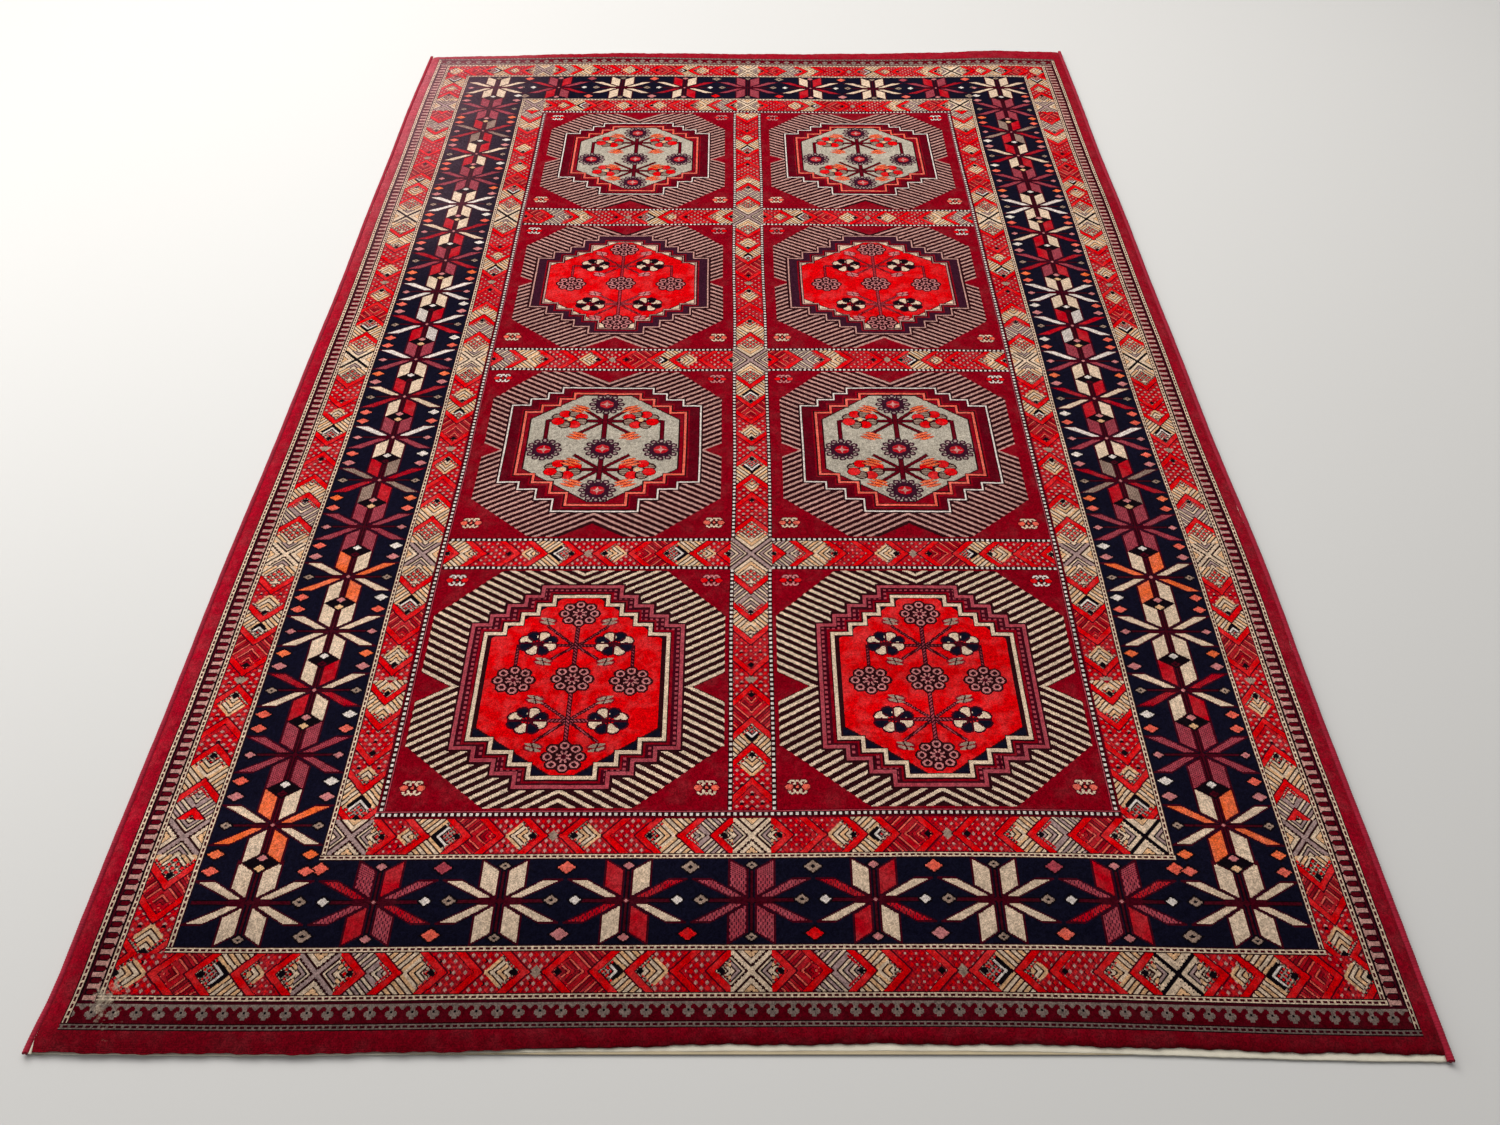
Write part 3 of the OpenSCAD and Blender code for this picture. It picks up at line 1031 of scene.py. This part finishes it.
def add_knots(mesh, corners):
    """Stores each face's nine knots. A wall face takes those of the cell behind it."""
    inside = corners.face_middle - corners.face_normal * np.array([1.0, 1.0, 0.0])
    column = np.floor((inside[:, 0] + RUG_W / 2) / CELL).astype(int)
    row = np.floor((inside[:, 1] + RUG_L / 2) / CELL).astype(int)
    layer = mesh.attributes.new("knots", "FLOAT_VECTOR", "FACE")
    layer.data.foreach_set("vector", KNOTS[row, column].ravel())


def add_knot_map(mesh, corners):
    """Stores where each corner lies in its cell. A wall shows the knots along its edge."""
    in_cell = (corners.place > corners.middle)[:, :2].astype(float)
    edge_knot = 0.5 + np.sign(corners.normal[:, :2]) / 3
    at_edge = corners.on_wall[:, None] & (np.abs(corners.normal[:, :2]) > 0.5)
    uv = np.where(at_edge, edge_knot, in_cell)
    mesh.uv_layers.new(name="knot").data.foreach_set("uv", uv.ravel())


def add_bake_map(mesh, corners, low, size):
    """Lays the top out in folded strips over a band that holds the walls and, in its
    corner, the base."""
    x, y, z = (corners.place - low).T
    middle = corners.middle - low
    if size[0] > size[1]:
        u, v = folded_map((y, middle[:, 1]), (x, middle[:, 0]), size[1], size[0])
    else:
        u, v = folded_map((x, middle[:, 0]), (y, middle[:, 1]), size[0], size[1])
    turn = np.where(np.abs(corners.normal[:, 1]) > 0.5, x, size[0] + y)
    far_side = (corners.normal[:, :2] > 0.5).any(1)
    turn = (turn + far_side * (size[0] + size[1])) / (2 * (size[0] + size[1]))
    u = np.where(corners.on_wall, 0.96 * turn, u)
    v = np.where(corners.on_wall, 0.004 + (WALL_BAND - 0.012) * z / size[2], v)
    u = np.where(corners.on_base, 0.97 + 0.028 * x / size[0], u)
    v = np.where(corners.on_base, 0.004 + 0.028 * y / size[1], v)
    uv = np.stack([u, v], 1)
    mesh.uv_layers.new(name="OFBake").data.foreach_set("uv", uv.ravel())


def settle_pile(x, y, z, top_z):
    """Uneven tufts on a cloth that isn't quite flat, rounded off at the rug's edges."""
    column = np.round((x + RUG_W / 2) / CELL).astype(int)
    row = np.round((y + RUG_L / 2) / CELL).astype(int)
    on_top = z > top_z - 1
    z = z + WAVE[row, column] + np.where(on_top, TUFTS[row, column], 0)
    side_gap, end_gap = PILE_W / 2 - np.abs(x), PILE_L / 2 - np.abs(y)
    z = z - on_top * (shoulder(end_gap) + shoulder(side_gap))
    out = np.sign(y)
    for end, sign in (("near", -1), ("far", 1)):
        reach = np.where(on_top, pile_reach(x, end), pile_foot(x, end))
        y = np.where(out == sign, y + sign * reach * np.exp(-end_gap / 6.0), y)
    return lie(x, y, z)


def pile_piece(node, material):
    """The tufts of one area of the design, as a closed block with an uneven top."""
    low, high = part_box(node)
    columns, rows = (round(size / MM / CELL) for size in (high - low)[:2])
    bm = grid_block(low, high, columns, rows)
    piece = new_piece(node.replace("_", "-") + "-pile", bm, material)
    corners = Corners(piece.data)
    add_knots(piece.data, corners)
    add_knot_map(piece.data, corners)
    add_bake_map(piece.data, corners, np.array(low / MM), np.array((high - low) / MM))
    bend(piece.data, lambda x, y, z: settle_pile(x, y, z, high.z / MM))
    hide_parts(node)
    return piece


# --- Side rolls, hem tapes and the back ----------------------------------------------

TURN_PITCH = 3.6
RINGS_PER_TURN = 4
ROUND_STEPS = 14


def tube(columns, rows):
    """A flat grid that is ready to be rolled up. Its x and y run from 0 to 1."""
    bm = bmesh.new()
    bmesh.ops.create_grid(bm, x_segments=columns, y_segments=rows, size=0.5)
    bmesh.ops.translate(bm, vec=(0.5, 0.5, 0), verts=bm.verts)
    return bm


def close_tube(bm):
    """Welds the seam of a rolled grid and fills its two ends."""
    bmesh.ops.remove_doubles(bm, verts=bm.verts, dist=1e-6)
    ends = [edge for edge in bm.edges if edge.is_boundary]
    caps = bmesh.ops.holes_fill(bm, edges=ends)["faces"]
    bmesh.ops.triangulate(bm, faces=caps, ngon_method="BEAUTY")
    bmesh.ops.recalc_face_normals(bm, faces=bm.faces)


def side_roll(side, material):
    """Overcast yarn, wound turn by turn over the cord and the selvedge."""
    node = "side_overcast_" + side
    low, high = (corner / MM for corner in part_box(node))
    sign = 1 if side == "right" else -1
    radius = (high.z - low.z) / 2
    middle_x = (low.x + high.x) / 2
    turns = (high.y - low.y) / TURN_PITCH
    bm = tube(ROUND_STEPS, round(turns * RINGS_PER_TURN))
    for vert in bm.verts:
        angle = vert.co.x * 2 * math.pi
        along = vert.co.y * (high.y - low.y)
        across, up = math.cos(angle), math.sin(angle)
        reach = radius
        if across < 0:
            reach = radius / (across ** 4 + up ** 4) ** 0.25
        lap = along / TURN_PITCH + vert.co.x * 0.8
        thread = abs(math.sin(math.pi * lap)) ** 0.7
        slack = 0.25 * math.sin(along / 23.0) + 0.2 * math.sin(along / 7.7 + 2)
        reach += 0.75 * thread - 0.55 + slack * 0.5
        vert.co = (middle_x + sign * across * reach, low.y + along,
                   max(radius + up * reach, 0.05))
    for vert in bm.verts:
        vert.co *= MM
    close_tube(bm)
    piece = new_piece("overcast-roll-" + side, bm, material)

    def settle(x, y, z):
        fray = 1.2 * np.sin(x * 1.7 + 1) * (np.abs(np.abs(y) - RUG_L / 2) < 1)
        return lie(x, y + fray, z)

    bend(piece.data, settle)
    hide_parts(node)
    return piece


def hem_tape(end, material):
    """Woven tape folded round the end of the ground cloth, with a lip on top."""
    node = "hem_tape_" + end
    low, high = (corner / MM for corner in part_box(node))
    sign = 1 if end == "far" else -1
    edge, thick, top = RUG_L / 2, TAPE_T, high.z
    leg = high.y - low.y
    # (distance in from the end, height), round the folded tape. None marks the lip's
    # inner edge, which follows the foot of the pile
    section = [(leg, 0.12), (leg * 0.7, 0.12), (leg * 0.35, 0.12), (1.2, 0.12), (0.3, 0.3),
               (0.0, 0.9), (0.0, 1.7), (0.0, 2.6), (0.25, top - 0.3), (0.9, top),
               (2.4, top), (None, top), (None, top - thick), (2.4, top - thick),
               (1.0, top - thick), (thick, 2.4), (thick, 1.2), (1.0, thick),
               (leg * 0.35, thick), (leg * 0.7, thick), (leg, thick)]
    bm = tube(round((high.x - low.x) / CELL), len(section))
    for vert in bm.verts:
        inset, z = section[round(vert.co.y * len(section)) % len(section)]
        x = low.x + vert.co.x * (high.x - low.x)
        if inset is None:
            inset = LIP_W + 1.5 - float(pile_foot(x, end))
        outer = inset < 3 and z > 0.5
        wander = 0.35 * math.sin(x / 3.1) + 0.5 * math.sin(x / 17) if outer else 0.0
        y = sign * (edge - inset + 0.5 * wander)
        rise = 0.25 * math.sin(x / 29) * math.sin(x / 71) if z > 2.4 else 0.0
        vert.co = Vector((x, y, z + rise)) * MM
    close_tube(bm)
    piece = new_piece("woven-tape-" + end, bm, material)
    bend(piece.data, lie)
    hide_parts(node)
    return piece


def sized_back(material):
    """The stiffened back of the cloth, which carries everything above it."""
    node = "back_size_coat"
    low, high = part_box(node)
    step = CELL * 4 * MM
    bm = grid_block(low, high, round((high.x - low.x) / step), round((high.y - low.y) / step))
    piece = new_piece("sized-back", bm, material, smooth=False)
    bend(piece.data, lie)
    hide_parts(node)
    return piece


# --- Materials -----------------------------------------------------------------------

class Nodes:
    """Shader nodes of one material or of one group, added and joined by name."""

    def __init__(self, tree):
        self.tree = tree

    def add(self, kind, **values):
        prefix = "" if kind.startswith("NodeGroup") else "ShaderNode"
        node = self.tree.nodes.new(prefix + kind)
        for key, value in values.items():
            setattr(node, key, value)
        return node

    def put(self, socket, value):
        if isinstance(value, bpy.types.NodeSocket):
            self.tree.links.new(value, socket)
        elif value is not None:
            socket.default_value = value

    def math(self, operation, one, other=None, third=None):
        node = self.add("Math", operation=operation)
        for socket, value in zip(node.inputs, (one, other, third)):
            self.put(socket, value)
        return node.outputs[0]

    def mix(self, kind, factor, one, other):
        node = self.add("Mix", data_type="RGBA", blend_type=kind)
        self.put(node.inputs["Factor"], factor)
        self.put(node.inputs["A"], one)
        self.put(node.inputs["B"], other)
        return node.outputs["Result"]

    def noise(self, place, scale, detail=2.0, rough=0.5):
        node = self.add("TexNoise")
        self.put(node.inputs["Vector"], place)
        node.inputs["Scale"].default_value = scale
        node.inputs["Detail"].default_value = detail
        node.inputs["Roughness"].default_value = rough
        return node.outputs["Fac"]

    def stretch(self, place, scale):
        node = self.add("Mapping")
        self.put(node.inputs["Vector"], place)
        node.inputs["Scale"].default_value = scale
        return node.outputs["Vector"]

    def range(self, value, low, high, to_low=0.0, to_high=1.0):
        node = self.add("MapRange")
        self.put(node.inputs["Value"], value)
        for key, number in (("From Min", low), ("From Max", high), ("To Min", to_low),
                            ("To Max", to_high)):
            self.put(node.inputs[key], number)
        return node.outputs["Result"]

    def product(self, *factors):
        total = factors[0]
        for factor in factors[1:]:
            total = self.math("MULTIPLY", total, factor)
        return total

    def parts(self, vector):
        node = self.add("SeparateXYZ")
        self.put(node.inputs[0], vector)
        return node.outputs

    def tone(self, colour, value, saturation=None):
        node = self.add("HueSaturation")
        self.put(node.inputs["Color"], colour)
        self.put(node.inputs["Value"], value)
        self.put(node.inputs["Saturation"], saturation)
        return node.outputs["Color"]

    def group(self, tree, **values):
        node = self.add("Group", node_tree=tree)
        for key, value in values.items():
            self.put(node.inputs[key.replace("_", " ")], value)
        return node.outputs


def node_group(name, inputs, outputs):
    """A new group. inputs and outputs give (name, kind, value) for each socket."""
    tree = bpy.data.node_groups.new(name, "ShaderNodeTree")
    for key, kind, value in inputs:
        socket = tree.interface.new_socket(key, in_out="INPUT", socket_type="NodeSocket" + kind)
        socket.default_value = value
    for key, kind in outputs:
        tree.interface.new_socket(key, in_out="OUTPUT", socket_type="NodeSocket" + kind)
    n = Nodes(tree)
    return n, n.add("NodeGroupInput").outputs, n.add("NodeGroupOutput").inputs


def linear(colour):
    """A colour from 0 to 255 as it looks, turned into the shader's linear values."""
    parts = [part / 255 for part in colour]
    return tuple(p / 12.92 if p <= 0.04045 else ((p + 0.055) / 1.055) ** 2.4
                 for p in parts) + (1.0,)


def yarn_ramp(n, number):
    """The colour of a yarn, from its number."""
    ramp = n.add("ValToRGB")
    ramp.color_ramp.interpolation = "CONSTANT"
    stops = ramp.color_ramp.elements
    stops.remove(stops[1])
    for index, colour in enumerate(YARNS.values()):
        stop = stops[0] if index == 0 else stops.new(index / YARN_BASE)
        stop.position, stop.color = index / YARN_BASE, linear(colour)
    n.put(ramp.inputs[0], n.math("DIVIDE", n.math("ADD", number, 0.5), float(YARN_BASE)))
    return ramp.outputs["Color"]


def yarn_group():
    """Finds a knot's yarn from its cell's packed numbers and its place in the cell."""
    n, _, out = node_group("knot yarn", [], [("Colour", "Color"), ("Heart", "Float")])
    uv = n.parts(n.add("UVMap", uv_map="knot").outputs["UV"])
    packed = n.parts(n.add("Attribute", attribute_name="knots").outputs["Vector"])
    scaled = [n.math("MULTIPLY", uv[axis], float(KNOTS_PER_CELL)) for axis in range(2)]
    column, row = (n.math("MINIMUM", n.math("FLOOR", place), KNOTS_PER_CELL - 1.0)
                   for place in scaled)
    line = 0.0
    for number in range(KNOTS_PER_CELL):
        here = n.math("COMPARE", row, float(number), 0.1)
        line = n.math("MULTIPLY_ADD", packed[number], here, line)
    # The small number added keeps a quotient from falling just short of a whole one
    step = n.math("POWER", float(YARN_BASE), column)
    number = n.math("FLOOR", n.math("ADD", n.math("DIVIDE", line, step), 0.0004))
    number = n.math("MODULO", number, float(YARN_BASE))
    n.put(out["Colour"], yarn_ramp(n, number))
    off = [n.math("ABSOLUTE", n.math("SUBTRACT", n.math("SUBTRACT", place, whole), 0.5))
           for place, whole in zip(scaled, (column, row))]
    n.put(out["Heart"], n.range(n.math("MAXIMUM", *off), 0.5, 0.2))
    return n.tree


def each_tuft(n, place):
    """An even random number for each knot."""
    snap = n.add("VectorMath", operation="SNAP")
    n.put(snap.inputs[0], place)
    snap.inputs[1].default_value = (KNOT * MM, KNOT * MM, 1)
    tuft = n.add("TexWhiteNoise", noise_dimensions="2D")
    n.put(tuft.inputs["Vector"], snap.outputs[0])
    return tuft.outputs["Value"]


def painted_edge_shade_and_highlight(n, x, y):
    """Painted shade at the near end, where the pile leans away from the light, and a painted
    highlight on the left edge, where it leans towards it.
    """
    return n.product(n.range(y, -1.15, -1.48, 1.0, 0.64), n.range(y, -1.45, -1.48, 1.0, 0.74),
                     n.range(x, -0.955, -0.985, 1.0, 1.35))


def painted_far_left_glare(n, place, x, y, colour):
    """Painted glare: the colour turns paler and pinker in patches towards the far left."""
    patchy = n.range(n.noise(place, 3.0, 3), 0.3, 0.7, 0.5, 1)
    glare_mask = n.product(n.range(x, -0.55, -1.0), n.range(y, 0.2, 1.3), patchy)
    # the pale pink that the painted glare mixes in
    return n.mix("MIX", n.math("MULTIPLY", glare_mask, 0.3), colour, linear((206, 158, 168)))


def spilt_on(n, place, colour):
    """An old pale spill near the near left corner."""
    squeeze = 0.6
    spot = n.add("VectorMath", operation="DISTANCE")
    n.put(spot.inputs[0], n.stretch(place, (1.0, squeeze, 0.0)))
    spot.inputs[1].default_value = (SPILL_AT[0] * MM, SPILL_AT[1] * MM * squeeze, 0.0)
    ragged = n.range(n.noise(place, 55, 4, 0.7), 0.3, 0.7, 0, 0.05)
    spill = n.range(n.math("ADD", spot.outputs["Value"], ragged), 0.042, 0.028, 0, 0.58)
    return n.mix("MIX", spill, colour, linear((226, 206, 178)))


def wool_group():
    """Uneven dye, trodden pile, a spill, dust, and painted light: shade between tufts, shade at
    the near end and highlights on the left edge and towards the far left.
    """
    n, given, out = node_group(
        "wool look",
        [("Colour", "Color", (0.5, 0.5, 0.5, 1)), ("Heart", "Float", 1.0)],
        [("Colour", "Color"), ("Roughness", "Float"), ("Height", "Float")])
    place = n.add("TexCoord").outputs["Object"]
    x, y, _ = n.parts(place)
    dye = n.range(each_tuft(n, place), 0, 1, 0.62, 1.28)
    bands = n.range(n.noise(n.stretch(place, (0.6, 9, 1)), 1.6, 3, 0.6), 0.3, 0.7, 0.90, 1.10)
    cloud = n.range(n.noise(place, 5.5, 4, 0.6), 0.3, 0.7, 0.94, 1.06)
    clump = n.range(n.noise(place, 150, 3, 0.6), 0.28, 0.72, 0.70, 1.26)
    shade = n.range(given["Heart"], 0, 1, 0.72, 1.04)
    # shade is painted shade between tufts; the edge factor is painted shade at the near end and
    # a painted highlight on the left edge
    value = n.product(dye, bands, cloud, clump, shade, painted_edge_shade_and_highlight(n, x, y))
    # a real spill, laid over the painted glare at the far left
    spill_and_glare = spilt_on(n, place, painted_far_left_glare(n, place, x, y, given["Colour"]))
    saturation = n.range(n.noise(place, 38, 2), 0.3, 0.7, 0.97, 1.03)
    dust = n.range(n.noise(place, 17, 5, 0.7), 0.62, 0.80, 0.0, 0.012)
    colour = n.mix("MIX", dust, n.tone(spill_and_glare, value, saturation), linear((176, 152, 132)))
    n.put(out["Colour"], colour)
    n.put(out["Roughness"], n.range(clump, 0.8, 1.16, 0.92, 0.78))
    fine = n.noise(place, 700, 2, 0.6)
    height = n.math("MULTIPLY_ADD", n.range(given["Heart"], 0, 1), 0.55, fine)
    n.put(out["Height"], n.math("MULTIPLY_ADD", n.noise(place, 150, 2), 1.6, height))
    return n.tree


def new_material(name):
    material = bpy.data.materials.new(name)
    material.use_nodes = True
    n = Nodes(material.node_tree)
    return material, n, material.node_tree.nodes["Principled BSDF"]


def bump(n, shader, height, strength, distance):
    node = n.add("Bump")
    node.inputs["Strength"].default_value = strength
    node.inputs["Distance"].default_value = distance
    n.put(node.inputs["Height"], height)
    n.put(shader.inputs["Normal"], node.outputs["Normal"])


def wool_material(name, yarn, wool, sheen):
    material, n, shader = new_material(name)
    knot = n.group(yarn)
    look = n.group(wool, Colour=knot["Colour"], Heart=knot["Heart"])
    n.put(shader.inputs["Base Color"], look["Colour"])
    n.put(shader.inputs["Roughness"], look["Roughness"])
    shader.inputs["Specular IOR Level"].default_value = 0.0
    shader.inputs["Sheen Weight"].default_value = sheen
    shader.inputs["Sheen Roughness"].default_value = 0.5
    shader.inputs["Sheen Tint"].default_value = linear((255, 190, 190))
    bump(n, shader, look["Height"], 0.55, 0.0016)
    return material


def yarn_material(name, colour, pale, scale, stretch, strength, sheen):
    """Twisted or interlaced yarn: fine fibres, uneven dye and a soft bump."""
    material, n, shader = new_material(name)
    place = n.add("TexCoord").outputs["Object"]
    fibre = n.noise(n.stretch(place, stretch), scale, 3, 0.6)
    patch = n.noise(place, 22, 3, 0.6)
    mixed = n.mix("MIX", n.range(fibre, 0.3, 0.7), linear(colour), linear(pale))
    value = n.range(patch, 0.3, 0.7, 0.86, 1.12)
    n.put(shader.inputs["Base Color"], n.tone(mixed, value))
    n.put(shader.inputs["Roughness"], n.range(fibre, 0.2, 0.8, 0.9, 0.7))
    shader.inputs["Specular IOR Level"].default_value = 0.2
    shader.inputs["Sheen Weight"].default_value = sheen
    bump(n, shader, fibre, strength, 0.0008)
    return material


def weave_material(name, warp, weft, pitch):
    """Plain weave: warp and weft threads that pass over each other by turns."""
    material, n, shader = new_material(name)
    place = n.add("TexCoord").outputs["Object"]
    wobble = n.add("VectorMath", operation="MULTIPLY_ADD")
    noise = n.add("TexNoise")
    noise.inputs["Scale"].default_value = 60
    n.put(noise.inputs["Vector"], place)
    n.put(wobble.inputs[0], noise.outputs["Color"])
    wobble.inputs[1].default_value = (pitch * 0.5,) * 3
    n.put(wobble.inputs[2], place)
    parts = n.parts(wobble.outputs[0])
    waves = [n.math("SINE", n.math("MULTIPLY", parts[axis], math.pi / pitch))
             for axis in range(2)]
    over = n.math("MULTIPLY", waves[0], waves[1])
    threads = n.math("MAXIMUM", n.math("ABSOLUTE", waves[0]), n.math("ABSOLUTE", waves[1]))
    mask = n.range(over, -0.15, 0.15)
    mixed = n.mix("MIX", mask, linear(warp), linear(weft))
    # painted shade: darker where the threads dip between each other
    gap = n.range(threads, 0.4, 1.0, 0.62, 1.0)
    soil = n.range(n.noise(place, 14, 5, 0.65), 0.3, 0.7, 0.84, 1.08)
    value = n.math("MULTIPLY", gap, soil)
    n.put(shader.inputs["Base Color"], n.tone(mixed, value))
    n.put(shader.inputs["Roughness"], n.range(soil, 0.84, 1.08, 0.95, 0.8))
    shader.inputs["Specular IOR Level"].default_value = 0.15
    bump(n, shader, n.math("ADD", threads, n.noise(place, 900, 2)), 0.6, 0.0006)
    return material


# --- Putting the rug together --------------------------------------------------------

KNOTS = packed_knots(draw_rug())

yarn_finder, wool_look = yarn_group(), wool_group()
pattern_wool = wool_material("patterned wool pile", yarn_finder, wool_look, 0.015)
plain_wool = wool_material("crimson wool pile", yarn_finder, wool_look, 0.06)
overcast_wool = yarn_material("overcast yarn", (126, 6, 30), (160, 14, 44), 260,
                              (0.35, 1.6, 0.35), 0.6, 0.05)
tape_weave = weave_material("hem tape", (244, 236, 216), (228, 216, 190), 0.9 * MM)
back_weave = weave_material("sized back", (176, 150, 112), (122, 60, 46), KNOT * MM)
ground_weave = weave_material("ground yarn", (190, 170, 134), (206, 190, 158), KNOT * MM)
cord_cotton = yarn_material("filler cord", (206, 196, 170), (228, 220, 200), 300,
                            (1, 0.3, 1), 0.5, 0.2)
thread_cotton = yarn_material("hem thread", (196, 192, 184), (226, 222, 214), 900,
                              (1, 1, 1), 0.5, 0.2)

for node in sorted(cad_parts):
    if node.startswith("edge_band"):
        pile_piece(node, plain_wool)
    elif node.startswith(("tooth_guard", "outer_chevron", "star_border", "inner_chevron",
                          "lattice", "gul_panel")):
        pile_piece(node, pattern_wool)

rolls = [side_roll(side, overcast_wool) for side in ("left", "right")]
tapes = [hem_tape(end, tape_weave) for end in ("near", "far")]
back = sized_back(back_weave)

# The hidden parts keep their own shapes and only take a material
hidden = {"ground_weft": ground_weave, "stuffer_warps": ground_weave,
          "side_cord": cord_cotton, "hem_stitches": thread_cotton}
for node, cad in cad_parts.items():
    for start, finish in hidden.items():
        if node.startswith(start):
            cad.data.materials.clear()
            cad.data.materials.append(finish)


# --- Floor, lights and camera --------------------------------------------------------

def floor():
    bm = bmesh.new()
    bmesh.ops.create_grid(bm, x_segments=1, y_segments=1, size=9)
    mesh = bpy.data.meshes.new("floor")
    bm.to_mesh(mesh)
    bm.free()
    piece = bpy.data.objects.new("floor", mesh)
    bpy.context.scene.collection.objects.link(piece)
    mesh.vertices.foreach_set("co", [c for v in mesh.vertices for c in (*v.co[:2], -0.0004)])
    material, n, shader = new_material("pale floor")
    shader.inputs["Base Color"].default_value = linear((200, 197, 192))
    shader.inputs["Roughness"].default_value = 0.6
    mesh.materials.append(material)
    return piece


def softbox(name, place, target, width, height, power):
    lamp = bpy.data.lights.new(name, "AREA")
    lamp.shape = "RECTANGLE"
    lamp.size, lamp.size_y, lamp.energy = width, height, power
    holder = bpy.data.objects.new(name, lamp)
    holder.location = place
    way = Vector(target) - Vector(place)
    holder.rotation_euler = way.to_track_quat("-Z", "Y").to_euler()
    bpy.context.scene.collection.objects.link(holder)


def studio_world():
    """Even, slightly cool light from all round."""
    world = bpy.data.worlds.new("studio")
    world.use_nodes = True
    background = world.node_tree.nodes["Background"]
    background.inputs["Color"].default_value = (0.92, 0.95, 1, 1)
    background.inputs["Strength"].default_value = 0.24
    bpy.context.scene.world = world


def camera(place, ahead, right):
    """A phone's main lens, with the way ahead and the way right as it is held."""
    lens = bpy.data.cameras.new("camera")
    lens.lens, lens.sensor_width = 26, 36
    holder = bpy.data.objects.new("camera", lens)
    back_way = -Vector(ahead).normalized()
    up_way = back_way.cross(Vector(right).normalized()).normalized()
    right_way = up_way.cross(back_way)
    holder.matrix_world = Matrix(list(zip(right_way, up_way, back_way))).to_4x4()
    holder.location = place
    bpy.context.scene.collection.objects.link(holder)
    bpy.context.scene.camera = holder


floor()
softbox("window softbox", (-3.4, 3.8, 4.2), (0, 0.6, 0), 4.5, 3.4, 320)
softbox("overhead softbox", (0.6, 2.0, 4.4), (0.1, 0.6, 0), 4.2, 4.2, 185)
softbox("side softbox", (-3.6, -0.6, 1.3), (0, 0, 0), 2.4, 1.4, 36)
studio_world()
bpy.context.scene.view_settings.view_transform = "Standard"
camera((0.037, -1.945, 1.612), (-0.009, 0.6414, -0.7672), (1.0, 0.0028, -0.0091))
